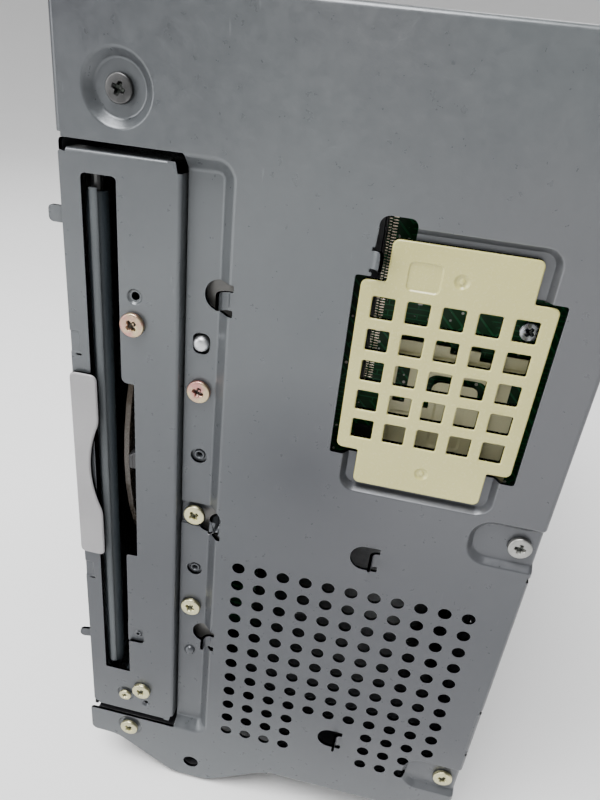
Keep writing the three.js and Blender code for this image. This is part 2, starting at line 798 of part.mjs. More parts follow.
place(
  mechanism,
  "sled_motor",
  bar("y", [leadX, leadDrop], 3.4, rodTo - 1 + gap, 80.5, 16),
  finish.bright,
);

// Loading roller behind the slot, driven by a belt from a small motor below.
const rollerY = frontY + roller.depth;
const motorY = rollerY + 16;
const beltZ = [37, 39];
place(
  tower,
  "feed_roller",
  cut(bar("z", [roller.x, rollerY], roller.radius, roller.bottom, roller.top, 20), [
    bar("z", [roller.x, rollerY], 1.5, roller.bottom - 1, roller.top + 1, 12),
  ]),
  finish.rubber,
);
place(
  tower,
  "roller_shaft",
  join([
    bar("z", [roller.x, rollerY], 1.2, beltZ[0] - 1.5, 190.5, 12),
    bar("z", [roller.x, rollerY], 2.4, beltZ[0], beltZ[1], 20),
    bar("z", [roller.x, rollerY], 3, beltZ[0] - 0.8, beltZ[0], 20),
  ]),
  finish.bright,
);
place(
  tower,
  "motor_pulley",
  join([
    bar("z", [roller.x, motorY], 1.5, beltZ[0], beltZ[1], 16),
    bar("z", [roller.x, motorY], 2.1, beltZ[0] - 0.8, beltZ[0], 16),
    bar("z", [roller.x, motorY], 0.6, beltZ[1] - 0.5, 40.6, 10),
  ]),
  finish.blackPlastic,
);
place(tower, "loading_motor", bar("z", [roller.x, motorY], 3.5, 41, 62, 16), finish.bright);

// The belt's inner line clears both pulleys all round.
function beltLoop(clearance) {
  const arc = (y, radius, start) =>
    Array.from({ length: 9 }, (_, i) => {
      const angle = start + (Math.PI * i) / 8;
      return [roller.x + radius * Math.cos(angle), y + radius * Math.sin(angle)];
    });
  return [...arc(motorY, 1.5 + clearance, 0), ...arc(rollerY, 2.4 + clearance, Math.PI)];
}
place(
  tower,
  "drive_belt",
  cut(slab("z", beltLoop(gap + 0.6), beltZ[0] + 0.3, beltZ[1] - 0.2), [
    slab("z", beltLoop(gap), beltZ[0], beltZ[1]),
  ]),
  finish.rubber,
);

export default tower;
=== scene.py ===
import math

import bpy
import numpy as np
from mathutils import Matrix, Vector
from mathutils.geometry import delaunay_2d_cdt


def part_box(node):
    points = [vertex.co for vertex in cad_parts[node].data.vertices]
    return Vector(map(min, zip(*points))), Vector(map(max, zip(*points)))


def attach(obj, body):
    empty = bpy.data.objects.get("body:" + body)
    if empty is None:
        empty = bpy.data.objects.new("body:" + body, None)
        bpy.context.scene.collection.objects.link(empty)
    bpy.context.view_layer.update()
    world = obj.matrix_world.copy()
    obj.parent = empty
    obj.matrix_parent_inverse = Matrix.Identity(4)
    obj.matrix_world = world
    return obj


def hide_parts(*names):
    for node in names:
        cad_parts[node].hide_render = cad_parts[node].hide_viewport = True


# A compact computer tower without its plastic shell, looks only. Lengths here are
# millimetres until a mesh is put in, and then metres. +Z up, front towards -Y.
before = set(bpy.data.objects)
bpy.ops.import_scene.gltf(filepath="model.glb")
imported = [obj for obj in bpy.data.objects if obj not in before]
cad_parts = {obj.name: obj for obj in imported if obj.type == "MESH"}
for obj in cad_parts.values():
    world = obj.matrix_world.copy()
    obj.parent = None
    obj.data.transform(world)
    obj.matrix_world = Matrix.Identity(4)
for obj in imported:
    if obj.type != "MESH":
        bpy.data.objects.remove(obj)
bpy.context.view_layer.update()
mm = 0.001


def nodeBox(node):
    # lowest and highest corner of a frame node, in millimetres
    low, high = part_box(node)
    return np.array(low) / mm, np.array(high) / mm


caseFront = nodeBox("drive_bracket")[0][1]  # outer face of the front plate
caseBack = nodeBox("rear_panel")[1][1]
caseHalf = nodeBox("rear_panel")[1][0]
caseTop = nodeBox("top_cover")[1][2]
caseBottom = nodeBox("base_pan")[0][2]
steel = 0.8

# outlines


def circleLoop(x, z, radius, count=28):
    # a circle: centre + radius (cos t, sin t)
    t = np.arange(count) * 2 * math.pi / count
    return np.stack([x + radius * np.cos(t), z + radius * np.sin(t)], 1)


def roundedLoop(corners, steps=6):
    # a closed line whose corners (a, b, radius) become arcs tangent to both sides
    spots = np.array([c[:2] for c in corners], float)
    radii = np.array([c[2] if len(c) > 2 else 0 for c in corners], float)
    back = np.roll(spots, 1, 0) - spots
    ahead = np.roll(spots, -1, 0) - spots
    back /= np.linalg.norm(back, axis=1)[:, None]
    ahead /= np.linalg.norm(ahead, axis=1)[:, None]
    found = []
    for spot, radius, b, a in zip(spots, radii, back, ahead):
        if radius == 0:
            found.append(spot[None])
            continue
        half = math.acos(float(np.clip(b @ a, -1, 1))) / 2
        middle = spot + (a + b) / np.linalg.norm(a + b) * radius / math.sin(half)
        start = spot + b * radius / math.tan(half) - middle
        end = spot + a * radius / math.tan(half) - middle
        sweep = math.atan2(start[0] * end[1] - start[1] * end[0], start @ end)
        t = sweep * np.linspace(0, 1, steps + 1)
        turned = [start[0] * np.cos(t) - start[1] * np.sin(t), start[0] * np.sin(t) + start[1] * np.cos(t)]
        found.append(middle + np.stack(turned, 1))
    return np.concatenate(found)


def rectLoop(left, right, bottom, top, radius=0.0, steps=5):
    # a rectangle whose four corners are arcs of one radius
    corners = [(left, bottom, radius), (right, bottom, radius), (right, top, radius), (left, top, radius)]
    return roundedLoop(corners, steps)


def offsetLoop(loop, distance):
    # moves each side of a loop to its left by distance, and each corner with both its sides
    ahead = np.roll(loop, -1, 0) - loop
    ahead /= np.linalg.norm(ahead, axis=1)[:, None]
    nA = np.stack([-ahead[:, 1], ahead[:, 0]], 1)
    nB = np.roll(nA, 1, 0)
    share = np.maximum(1 + (nA * nB).sum(1), 0.3)
    return loop + distance * (nA + nB) / share[:, None]


def counterClockwise(loop):
    # twice the area = sum of x y' - x' y along the loop; a negative one means it runs backwards
    x, y = loop[:, 0], loop[:, 1]
    area = (x * np.roll(y, -1) - np.roll(x, -1) * y).sum()
    return loop if area > 0 else loop[::-1]


# pressed shapes in a sheet: how deep the face lies at every place


def shoulder(t, round=0.28):
    # 0 to 1 along a wall: a straight slope between two parabolas, each a share of its width
    t = np.clip(t, 0, 1)
    low = t * t / (2 * round * (1 - round))
    high = 1 - (1 - t) ** 2 / (2 * round * (1 - round))
    middle = (t - round / 2) / (1 - round)
    return np.where(t < round, low, np.where(t > 1 - round, high, middle))


contourShares = (0.0, 0.07, 0.14, 0.21, 0.28, 0.5, 0.72, 0.79, 0.86, 0.93, 1.0)


def pressedRect(left, right, bottom, top, radius, depth, slope):
    # depth = shoulder(distance inside a rounded rectangle / slope)
    centre = np.array([(left + right) / 2, (bottom + top) / 2])
    half = np.array([(right - left) / 2, (top - bottom) / 2])

    def deep(places):
        q = np.abs(places - centre) - half + radius
        outside = np.linalg.norm(np.maximum(q, 0), axis=1) + np.minimum(q.max(1), 0) - radius
        return depth * shoulder(-outside / slope)

    def contours():
        for share in contourShares:
            inset = slope * share
            r = max(radius - inset, 0.0)
            yield rectLoop(left + inset, right - inset, bottom + inset, top - inset, r, 8)

    return deep, list(contours())


def pressedCircle(x, z, radius, depth, slope, count=48):
    # depth = shoulder((radius - distance from the middle) / slope)
    def deep(places):
        away = np.hypot(places[:, 0] - x, places[:, 1] - z)
        return depth * shoulder((radius - away) / slope)

    return deep, [circleLoop(x, z, radius - slope * share, count) for share in contourShares]


def pressedRing(x, z, radius, depth, width, count=36):
    # depth = full on a circle of this radius, falling to 0 half a width to either side
    def deep(places):
        away = np.abs(np.hypot(places[:, 0] - x, places[:, 1] - z) - radius)
        return depth * shoulder(1 - 2 * away / width, 0.4)

    spots = [radius + width * s for s in (-0.5, -0.3, -0.1, 0.1, 0.3, 0.5)]
    return deep, [circleLoop(x, z, r, count) for r in spots if r > 0.02]


# meshes


def putMesh(name, points, faces, material, body="chassis", slot=None, sharp=38.0, stands=(), corners=None):
    # points in millimetres, faces as index lists; edges steeper than sharp degrees stay crisp,
    # unless corners gives the normal of every face corner
    mesh = bpy.data.meshes.new(name)
    mesh.from_pydata((np.asarray(points, float) * mm).tolist(), [], faces)
    mesh.shade_smooth()
    if corners is None:
        mesh.calc_loop_triangles()
        ends = np.empty(len(mesh.loop_triangles) * 3, np.int32)
        mesh.loop_triangles.foreach_get("vertices", ends)
        a, b, c = np.asarray(points, float)[ends.reshape(-1, 3)].transpose(1, 0, 2)
        if (np.cross(a, b) * c).sum() < 0:  # six times the signed volume
            mesh.flip_normals()
        mesh.set_sharp_from_angle(angle=math.radians(sharp))
    else:
        mesh.normals_split_custom_set(corners.tolist())
    piece = bpy.data.objects.new(name, mesh)
    bpy.context.scene.collection.objects.link(piece)
    piece.data.materials.append(material)
    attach(piece, body)
    if stands:
        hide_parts(*stands)
    return piece


def joinParts(parts):
    # several (points, faces) as one
    points, faces, start = [], [], 0
    for p, f in parts:
        points.append(np.asarray(p, float))
        faces += [[i + start for i in face] for face in f]
        start += len(p)
    return np.concatenate(points), faces


faceViews = {  # A across, B up and the outward side, for a sheet seen from each side
    "front": ((1, 0, 0), (0, 0, 1)),
    "rear": ((-1, 0, 0), (0, 0, 1)),
    "left": ((0, -1, 0), (0, 0, 1)),
    "right": ((0, 1, 0), (0, 0, 1)),
    "top": ((1, 0, 0), (0, 1, 0)),
}


def ontoFace(local, side, level):
    # local (a, b, depth) to the tower: A a + B b + N (level - depth), with N = A x B
    a, b = (np.array(v, float) for v in faceViews[side])
    n = np.cross(a, b)
    local = np.asarray(local, float)
    outward = float(np.dot(n, (1, 1, 1)))
    return local[:, :1] * a + local[:, 1:2] * b + (level * outward - local[:, 2:3]) * n


def fold(axis, sign, start, radius, low, high, lift=1, turn=90.0, reach=1e9):
    # one bend of a sheet: it starts there, past it towards sign along the axis, for the strip
    # between low and high; lift 1 bends it inwards, -1 outwards, and reach is where it ends
    return {
        "axis": axis, "sign": sign, "start": start, "radius": radius, "low": low, "high": high,
        "lift": lift, "turn": math.radians(turn), "reach": reach,
    }


def foldOver(places, deep, folds):
    # past its start a fold turns the strip about an arc: along = start + r sin(s / r),
    # depth += lift r (1 - cos(s / r)), and then straight on at the angle it has turned to
    spots = np.column_stack([places, np.zeros(len(places))])
    held = places.copy()
    for f in folds:
        axis, sign, radius, other = f["axis"], f["sign"], f["radius"], places[:, 1 - f["axis"]]
        s = sign * (places[:, axis] - f["start"])
        on = (s > 0) & (s < f["reach"]) & (other > f["low"]) & (other < f["high"])
        held[on, axis] = f["start"]
        angle = np.clip(s / radius, 0, f["turn"])
        past = np.maximum(s - radius * f["turn"], 0)
        along = radius * np.sin(angle) + past * math.cos(f["turn"])
        spots[:, axis] = np.where(on, f["start"] + sign * along, spots[:, axis])
        run = radius * (1 - np.cos(angle)) + past * math.sin(f["turn"])
        spots[:, 2] += np.where(on, f["lift"] * run, 0)
    spots[:, 2] += deep(held)
    return spots


def foldEnd(radius, depth):
    # how far past its outer face a right-angled fold of that depth ends in the flat sheet
    return radius * math.pi / 2 + depth - 2 * radius


def formedSheet(
    outline, holes, pressings=(), folds=(), thick=steel, rim=((0.0, 0.07), (0.14, 0.0)),
    back="follows",
):
    # The flat sheet is cut into triangles with its holes, rims, contours and fold lines as edges.
    # Face point = fold(place) + depth(place) + rim drop; back point = face point + thick x normal.
    outline = counterClockwise(outline)
    holes = [counterClockwise(h) for h in holes]
    spots, edges, faces, drops = [], [], [], []

    def addLoop(loop, drop, closed=True, face=False):
        # its points and the edges between them join the flat sheet
        first = sum(len(s) for s in spots)
        spots.append(loop)
        drops.append(np.full(len(loop), drop))
        index = np.arange(len(loop)) + first
        pairs = np.stack([index, np.roll(index, -1)], 1)
        edges.extend((pairs if closed else pairs[:-1]).tolist())
        if face:
            faces.append(index.tolist())

    addLoop(outline, rim[0][1], face=True)
    for hole in holes:
        addLoop(hole, rim[0][1], face=True)
    for inset, drop in rim[1:]:
        addLoop(offsetLoop(outline, inset), drop)
        for hole in holes:
            addLoop(offsetLoop(hole, -inset), drop)
    for _, contours in pressings:
        for loop in contours:
            addLoop(loop, 0.0)
    for f in folds:
        for share in (0, 0.2, 0.4, 0.6, 0.8, 1.0):
            at = f["start"] + f["sign"] * share * f["radius"] * f["turn"]
            line = np.array([[at, f["low"] + 0.01], [at, f["high"] - 0.01]])
            addLoop(line if f["axis"] == 0 else line[:, ::-1], 0.0, closed=False)
    flat = np.concatenate(spots)
    dropOf = np.concatenate(drops)
    cutUp = delaunay_2d_cdt([Vector(p) for p in flat.tolist()], edges, faces, 1, 1e-5, True)
    places = np.array([tuple(v) for v in cutUp[0]], float)
    kept = np.array([f for f, ids in zip(cutUp[2], cutUp[5]) if list(ids) == [0]])
    drop = np.array([max((dropOf[i] for i in ids), default=0.0) for ids in cutUp[3]])
    used, kept = np.unique(kept, return_inverse=True)
    kept = kept.reshape(-1, 3)
    places, drop = places[used], drop[used]
    ends = places[kept]
    turn = np.cross(ends[:, 1] - ends[:, 0], ends[:, 2] - ends[:, 0])
    kept[turn < 0] = kept[turn < 0][:, ::-1]

    def deep(where):
        total = np.zeros(len(where))
        for press, _ in pressings:
            found = press(where)
            total = np.where(np.abs(found) > np.abs(total), found, total)
        return total

    face = foldOver(places, deep, folds)
    # in local (a, b, depth) the outward side is -depth, so the normals are turned that way
    corner = face[kept]
    normal = np.cross(corner[:, 1] - corner[:, 0], corner[:, 2] - corner[:, 0])
    summed = np.zeros_like(face)
    for k in range(3):
        np.add.at(summed, kept[:, k], normal)
    inward = summed / np.maximum(np.linalg.norm(summed, axis=1), 1e-12)[:, None]
    behind = face + thick * inward
    if back == "flat":
        behind = np.column_stack([face[:, :2], np.full(len(face), thick)])
    # edges with one triangle are the rims
    pairs = np.concatenate([kept[:, [0, 1]], kept[:, [1, 2]], kept[:, [2, 0]]])
    key = np.sort(pairs, 1)
    _, first, count = np.unique(key, axis=0, return_index=True, return_counts=True)
    rims = pairs[first[count == 1]]
    onRim = np.zeros(len(face), bool)
    onRim[rims.ravel()] = True
    drop = np.where(onRim, rim[0][1], drop)
    face = face + inward * drop[:, None]
    size = len(face)
    walls = np.stack([rims[:, 1], rims[:, 0], rims[:, 0] + size, rims[:, 1] + size], 1)
    shapes = kept.tolist() + (kept[:, ::-1] + size).tolist() + walls.tolist()
    # a corner takes the normal of the flat face it touches, or else the mean of those round it
    corner = face[kept]
    normal = np.cross(corner[:, 1] - corner[:, 0], corner[:, 2] - corner[:, 0])
    area = np.maximum(np.linalg.norm(normal, axis=1), 1e-12)
    level = (np.abs(normal).max(1) / area > 0.99999) & (area > 0.02)
    weight = np.where(level, 1e4, 1.0)
    summed = np.zeros_like(face)
    for k in range(3):
        np.add.at(summed, kept[:, k], normal * weight[:, None])
    smooth = -summed / np.maximum(np.linalg.norm(summed, axis=1), 1e-12)[:, None]
    step = face[rims[:, 0]] - face[rims[:, 1]]
    wallNormal = np.cross(step, behind[rims[:, 0]] - face[rims[:, 0]])
    wallNormal /= np.maximum(np.linalg.norm(wallNormal, axis=1), 1e-12)[:, None]
    wallSum = np.zeros_like(face)
    for k in range(2):
        np.add.at(wallSum, rims[:, k], wallNormal)
    wallSum /= np.maximum(np.linalg.norm(wallSum, axis=1), 1e-12)[:, None]
    ends = rims[:, [1, 0, 0, 1]]
    close = (wallSum[ends] * wallNormal[:, None]).sum(-1) > 0.88
    wallCorners = np.where(close[..., None], wallSum[ends], wallNormal[:, None])
    corners = [smooth[kept].reshape(-1, 3), -smooth[kept[:, ::-1]].reshape(-1, 3), wallCorners.reshape(-1, 3)]
    return np.concatenate([face, behind]), shapes, np.concatenate(corners)


def sheetPiece(name, side, level, shape, material, **extra):
    # painted and bright sheets get a bare cut edge on the four-sided faces of their rims
    points, faces, corners = shape
    turned = ontoFace(corners, side, 0.0)
    piece = putMesh(name, ontoFace(points, side, level), faces, material, corners=turned, **extra)
    if material in (paintedPlate, brightSteel):
        piece.data.materials.append(cutEdge)
        piece.data.polygons.foreach_set("material_index", [int(len(f) == 4) for f in faces])
    return piece


def spun(profile, count=40, axis="y", at=(0, 0, 0)):
    # a profile (radius, along) turned round its axis; ends on the axis are closed to one point,
    # and a profile that ends where it starts makes a ring
    profile = np.asarray(profile, float)
    t = np.arange(count) * 2 * math.pi / count
    onAxis = profile[:, 0] < 1e-6
    points, rings = [], []
    start = 0
    looped = len(profile) > 2 and np.allclose(profile[0], profile[-1])
    if looped:
        profile, onAxis = profile[:-1], onAxis[:-1]
    for (radius, along), pole in zip(profile, onAxis):
        if pole:
            points.append(np.array([[0, 0, along]]))
            rings.append(np.full(count, start))
            start += 1
        else:
            points.append(np.stack([radius * np.cos(t), radius * np.sin(t), np.full(count, along)], 1))
            rings.append(np.arange(count) + start)
            start += count
    if looped:
        rings, onAxis = rings + rings[:1], np.append(onAxis, False)
    faces = []
    for a, b, poleA, poleB in zip(rings[:-1], rings[1:], onAxis[:-1], onAxis[1:]):
        a2, b2 = np.roll(a, -1), np.roll(b, -1)
        if poleA:
            faces += np.stack([a, b, b2], 1)[:, ::-1].tolist()
        elif poleB:
            faces += np.stack([a, a2, b], 1).tolist()
        else:
            faces += np.stack([a, a2, b2, b], 1).tolist()
    points = np.concatenate(points)
    if axis == "y":  # along grows to +Y
        points = points[:, [0, 2, 1]] * (1, 1, -1)
    elif axis == "x":
        points = points[:, [2, 0, 1]]
    return points + np.array(at, float), faces


def blocks(rows, chamfer=0.15):
    # (low corner, high corner) rows as boxes whose twelve edges are cut off by chamfer
    parts = []
    signs = np.array([[i & 1, i >> 1 & 1, i >> 2 & 1] for i in range(8)], float) * 2 - 1
    for low, high in rows:
        low, high = np.array(low, float), np.array(high, float)
        centre, half = (low + high) / 2, (high - low) / 2
        c = min(chamfer, *(half * 0.45))
        points = []
        for axis in range(3):
            inner = half - c
            inner[axis] = half[axis]
            points.append(centre + signs * inner)
        points = np.concatenate(points)
        faces = []
        for axis in range(3):
            u, v = (axis + 1) % 3, (axis + 2) % 3
            for side in (0, 1):
                ring = [
                    axis * 8 + (side << axis) + (a << u) + (b << v)
                    for a, b in ((0, 0), (1, 0), (1, 1), (0, 1))
                ]
                faces.append(ring if side else ring[::-1])
            for a in (0, 1):  # the edge along this axis, between faces u and v
                for b in (0, 1):
                    e = [u * 8 + (a << u) + (b << v), v * 8 + (a << u) + (b << v)]
                    top = [i + (1 << axis) for i in e]
                    ring = [e[0], e[1], top[1], top[0]]
                    faces.append(ring if a == b else ring[::-1])
        for corner in range(8):
            ring = [corner, 8 + corner, 16 + corner]
            odd = bin(corner).count("1") % 2
            faces.append(ring if odd else ring[::-1])
        parts.append((points, faces))
    return joinParts(parts)


def sweptTube(path, radius, sides=10):
    # a round bar with closed ends: path + radius (u cos t + v sin t), u and v square to the path
    path = np.asarray(path, float)
    along = np.gradient(path, axis=0)
    along /= np.linalg.norm(along, axis=1)[:, None]
    up = np.array([0.0, 0.0, 1.0]) if abs(along[0][2]) < 0.9 else np.array([1.0, 0.0, 0.0])
    across = np.cross(along, up)
    across /= np.linalg.norm(across, axis=1)[:, None]
    third = np.cross(across, along)
    t = np.arange(sides) * 2 * math.pi / sides
    ring = across[:, None] * np.cos(t)[None, :, None] + third[:, None] * np.sin(t)[None, :, None]
    points = (path[:, None] + radius * ring).reshape(-1, 3)
    index = np.arange(len(path) * sides).reshape(len(path), sides)
    a, b = index[:-1], index[1:]
    quads = np.stack([a, b, np.roll(b, -1, 1), np.roll(a, -1, 1)], -1).reshape(-1, 4).tolist()
    return points, quads + [index[0].tolist(), index[-1][::-1].tolist()]


# surfaces

looks = {}


def newSurface(name):
    # a new material with its node tree and its main shader
    material = bpy.data.materials.new(name)
    material.use_nodes = True
    looks[name] = material
    return material, material.node_tree, material.node_tree.nodes["Principled BSDF"]


def node(tree, kind, inputs=(), **settings):
    # a shader node whose inputs are linked from sockets or set to plain values
    made = tree.nodes.new("ShaderNode" + kind)
    for key, value in settings.items():
        setattr(made, key, value)
    for key, value in dict(inputs).items():
        if isinstance(value, bpy.types.NodeSocket):
            tree.links.new(value, made.inputs[key])
        else:
            made.inputs[key].default_value = value
    return made


def objectPlace(tree, stretch=(1, 1, 1)):
    # Object coordinates, each times its stretch
    place = node(tree, "TexCoord").outputs["Object"]
    return node(tree, "Mapping", {"Vector": place, "Scale": stretch}).outputs[0]


def noise(tree, place, size, detail=2.0, rough=0.5):
    # size is that of one cell, in metres
    inputs = {"Vector": place, "Scale": 1 / size, "Detail": detail, "Roughness": rough}
    return node(tree, "TexNoise", inputs).outputs["Fac"]


def ramp(tree, value, low, high, outLow=0.0, outHigh=1.0):
    # low..high to outLow..outHigh in a straight line, held at both ends
    inputs = {"Value": value, 1: low, 2: high, 3: outLow, 4: outHigh}
    return node(tree, "MapRange", inputs, clamp=True).outputs[0]


def maths(tree, do, a, b):
    # one sum of two values, such as ADD or MULTIPLY
    return node(tree, "Math", {0: a, 1: b}, operation=do).outputs[0]


def blendColour(tree, share, a, b):
    # a (1 - share) + b share, where a and b are colours or sockets
    ends = [c if isinstance(c, bpy.types.NodeSocket) else (*c, 1) for c in (a, b)]
    return node(tree, "Mix", {0: share, 6: ends[0], 7: ends[1]}, data_type="RGBA").outputs[2]


def finishSurface(tree, shader, colour, rough, height, strength, metal=0.0, distance=0.00005):
    # puts colour, roughness, metal and a bump of that height, strength and distance on the shader
    tree.links.new(colour, shader.inputs["Base Color"])
    tree.links.new(rough, shader.inputs["Roughness"])
    inputs = {"Height": height, "Strength": strength, "Distance": distance}
    bump = node(tree, "Bump", inputs)
    tree.links.new(bump.outputs[0], shader.inputs["Normal"])
    shader.inputs["Metallic"].default_value = metal


plateLook = {
    "colour": (0.114, 0.124, 0.130), "pale": (0.144, 0.154, 0.159), "warm": (0.138, 0.130, 0.139),
    "speck": (0.05, 0.053, 0.06), "edge": (0.34, 0.35, 0.37),
    "smudges": (((0.0, -0.1, 0.128), 0.028, 0.85), ((-0.06, -0.1, 0.228), 0.06, 0.95)),  # place, reach, share
    # how dark the painted shade towards the bottom gets
    "dirt": 0.85,
    "cloud": 0.045, "mottle": 0.0022, "grain": 0.0004, "drift": 0.09, "speckSize": 0.0031, "scratch": 0.0016,
    "metal": 0.45, "roughness": (0.27, 0.40),
}


def platedSteel(name, look, wear=1.0):
    # colour = base blended to pale by clouds and fine mottle, to a warmer tone by slow drifts,
    # then to dark specks where fine noise is at its highest, to pale scuffs, to darker patches
    # near two places, and to painted shade downwards that eases off near the floor as painted
    # floor light; roughness by mottle; height = mottle + 0.6 grain
    material, tree, shader = newSurface(name)
    place = objectPlace(tree)
    cloud = noise(tree, place, look["cloud"], 3, 0.6)
    mottle = noise(tree, place, look["mottle"], 3, 0.6)
    grain = noise(tree, place, look["grain"], 2, 0.6)
    drift = noise(tree, objectPlace(tree, (1, 1, 0.6)), look["drift"], 1)
    pale = blendColour(tree, ramp(tree, cloud, 0.38, 0.66, 0, 0.55), look["colour"], look["pale"])
    fine = blendColour(tree, ramp(tree, mottle, 0.35, 0.75, 0, 0.35), pale, look["pale"])
    warm = blendColour(tree, ramp(tree, drift, 0.5, 0.72, 0, 0.6), fine, look["warm"])
    speckNoise = noise(tree, place, look["speckSize"], 1.5, 0.7)
    specked = blendColour(tree, ramp(tree, speckNoise, 0.762, 0.80, 0, 0.38 * wear), warm, look["speck"])
    scratch = noise(tree, objectPlace(tree, (1, 1, 0.12)), look["scratch"], 2, 0.8)
    wornAndShaded = blendColour(tree, ramp(tree, scratch, 0.72, 0.79, 0, 0.30 * wear), specked, look["edge"])
    # darker patches near two places, thinned by the clouds
    for spot, reach, share in look["smudges"]:
        away = node(tree, "VectorMath", {0: place, 1: spot}, operation="DISTANCE").outputs["Value"]
        near = ramp(tree, away, reach * 0.15, reach, share, 0)
        cloudy = maths(tree, "MULTIPLY", near, ramp(tree, cloud, 0.3, 0.6, 0.5, 1))
        wornAndShaded = blendColour(tree, cloudy, wornAndShaded, look["speck"])
    # painted shade: darker downwards, with less of it near the floor as painted light thrown up from the
    # floor
    level = node(tree, "SeparateXYZ", {0: place}).outputs[2]
    downwards = ramp(tree, level, 0.09, 0.215, look["dirt"], 0)
    lower = maths(tree, "MULTIPLY", downwards, ramp(tree, level, 0.0, 0.05, 0.3, 1))
    wornAndShaded = blendColour(tree, lower, wornAndShaded, look["speck"])
    rough = ramp(tree, mottle, 0.3, 0.7, *look["roughness"])
    height = maths(tree, "ADD", mottle, maths(tree, "MULTIPLY", grain, 0.6))
    finishSurface(tree, shader, wornAndShaded, rough, height, 0.22, look["metal"], 0.00006)
    return material


def mouldedPlastic(name, base, other, rough=(0.35, 0.45), grainSize=0.0003, bump=0.1, glow=0.0, coat=0.0):
    # colour = base to other by slow clouds, darker by a little fine grain; height = fine grain
    material, tree, shader = newSurface(name)
    place = objectPlace(tree)
    cloud = noise(tree, place, 0.02, 2)
    grain = noise(tree, place, grainSize, 2, 0.6)
    mixed = blendColour(tree, ramp(tree, cloud, 0.35, 0.65), base, other)
    fine = blendColour(tree, ramp(tree, grain, 0.4, 0.8, 0, 0.12), mixed, tuple(c * 0.6 for c in base))
    finishSurface(tree, shader, fine, ramp(tree, grain, 0.3, 0.7, *rough), grain, bump, 0.0, 0.00004)
    if glow:
        shader.inputs["Subsurface Weight"].default_value = glow
        shader.inputs["Subsurface Radius"].default_value = (0.004, 0.0035, 0.002)
        shader.inputs["Subsurface Scale"].default_value = 0.35
    shader.inputs["Coat Weight"].default_value = coat
    shader.inputs["Coat Roughness"].default_value = 0.25
    return material


def bareMetal(name, base, other, rough=(0.18, 0.34), stretch=(1, 1, 1), size=0.0006, bump=0.12):
    # colour = base to other by patches, with painted shade where the recess share is high; brushed
    # when stretch draws the grain out along one axis
    material, tree, shader = newSurface(name)
    patches = noise(tree, objectPlace(tree), 0.0035, 2)
    grain = noise(tree, objectPlace(tree, stretch), size, 3, 0.7)
    mixed = blendColour(tree, ramp(tree, patches, 0.40, 0.60), base, other)
    fine = blendColour(tree, ramp(tree, grain, 0.35, 0.8, 0, 0.3), mixed, tuple(c * 0.55 for c in base))
    # painted shade: screw recesses are darkened where light does not reach
    recess = node(tree, "Attribute", attribute_name="recess").outputs["Fac"]
    fine = blendColour(tree, ramp(tree, recess, 0.25, 0.9, 0, 0.88), fine, (0.03, 0.035, 0.03))
    finishSurface(tree, shader, fine, ramp(tree, grain, 0.3, 0.7, *rough), grain, bump, 1.0, 0.00003)
    return material


def circuitSurface(name, across, up, base=(0.002, 0.045, 0.010), line=(0.010, 0.14, 0.045)):
    # green lacquer over copper: colour = base to line on tracks, where a brick pattern and a
    # turned one meet; tinned pads where a cell pattern's distance to its middle is small
    material, tree, shader = newSurface(name)
    place = node(tree, "TexCoord").outputs["Object"]
    split = node(tree, "SeparateXYZ", {0: place})
    flat = node(tree, "CombineXYZ", {0: split.outputs[across], 1: split.outputs[up]}).outputs[0]
    brick = {
        "Vector": flat, "Scale": 260.0, "Mortar Size": 0.035, "Mortar Smooth": 0.1,
        "Brick Width": 1.7, "Row Height": 0.32,
    }
    tracks = node(tree, "TexBrick", brick).outputs["Fac"]
    turned = node(tree, "Mapping", {"Vector": flat, "Rotation": (0, 0, math.pi / 4)}).outputs[0]
    slanted = node(tree, "TexBrick", {**brick, "Vector": turned, "Scale": 150.0}).outputs["Fac"]
    region = ramp(tree, noise(tree, flat, 0.012, 1), 0.47, 0.5)
    both = node(tree, "Mix", {0: region, 2: tracks, 3: slanted}).outputs[0]
    cells = node(tree, "TexVoronoi", {"Vector": flat, "Scale": 420.0, "Randomness": 0.35}).outputs["Distance"]
    padFields = ramp(tree, noise(tree, flat, 0.006, 1), 0.56, 0.58)
    padMask = maths(tree, "MULTIPLY", ramp(tree, cells, 0.17, 0.15), padFields)
    lacquer = blendColour(tree, maths(tree, "MULTIPLY", both, 0.8), base, line)
    colour = blendColour(tree, padMask, lacquer, (0.55, 0.55, 0.50))
    height = maths(tree, "ADD", both, padMask)
    finishSurface(tree, shader, colour, ramp(tree, padMask, 0, 1, 0.32, 0.22), height, 0.3, 0.0, 0.00004)
    shader.inputs["Specular IOR Level"].default_value = 0.2
    return material


paintedPlate = platedSteel("platedSteel", plateLook)
innerPlate = platedSteel(
    "innerSteel",
    {**plateLook, "colour": (0.105, 0.103, 0.098), "pale": (0.13, 0.127, 0.12), "dirt": 0.0}, 0.5,
)
shadedPlate = platedSteel(
    "shadedSteel", {**plateLook, "colour": (0.04, 0.043, 0.046), "pale": (0.05, 0.054, 0.057)}, 0.5,
)
creamCover = mouldedPlastic(
    "creamPlastic", (0.49, 0.46, 0.175), (0.455, 0.425, 0.155), (0.20, 0.30), 0.0006, 0.04, 0.2, 0.6,
)
whiteTrim = mouldedPlastic(
    "whitePlastic", (0.27, 0.265, 0.27), (0.24, 0.235, 0.24), (0.36, 0.46), 0.0005, 0.08,
)
yellowZinc = bareMetal("yellowZinc", (0.55, 0.52, 0.31), (0.47, 0.45, 0.29), (0.24, 0.42))
pinkZinc = bareMetal("pinkZinc", (0.44, 0.22, 0.20), (0.52, 0.44, 0.27), (0.24, 0.42))
greyZinc = bareMetal("greyZinc", (0.34, 0.34, 0.32), (0.26, 0.26, 0.25), (0.28, 0.46))
brightSteel = bareMetal("brightSteel", (0.66, 0.68, 0.70), (0.58, 0.60, 0.62), (0.16, 0.30))
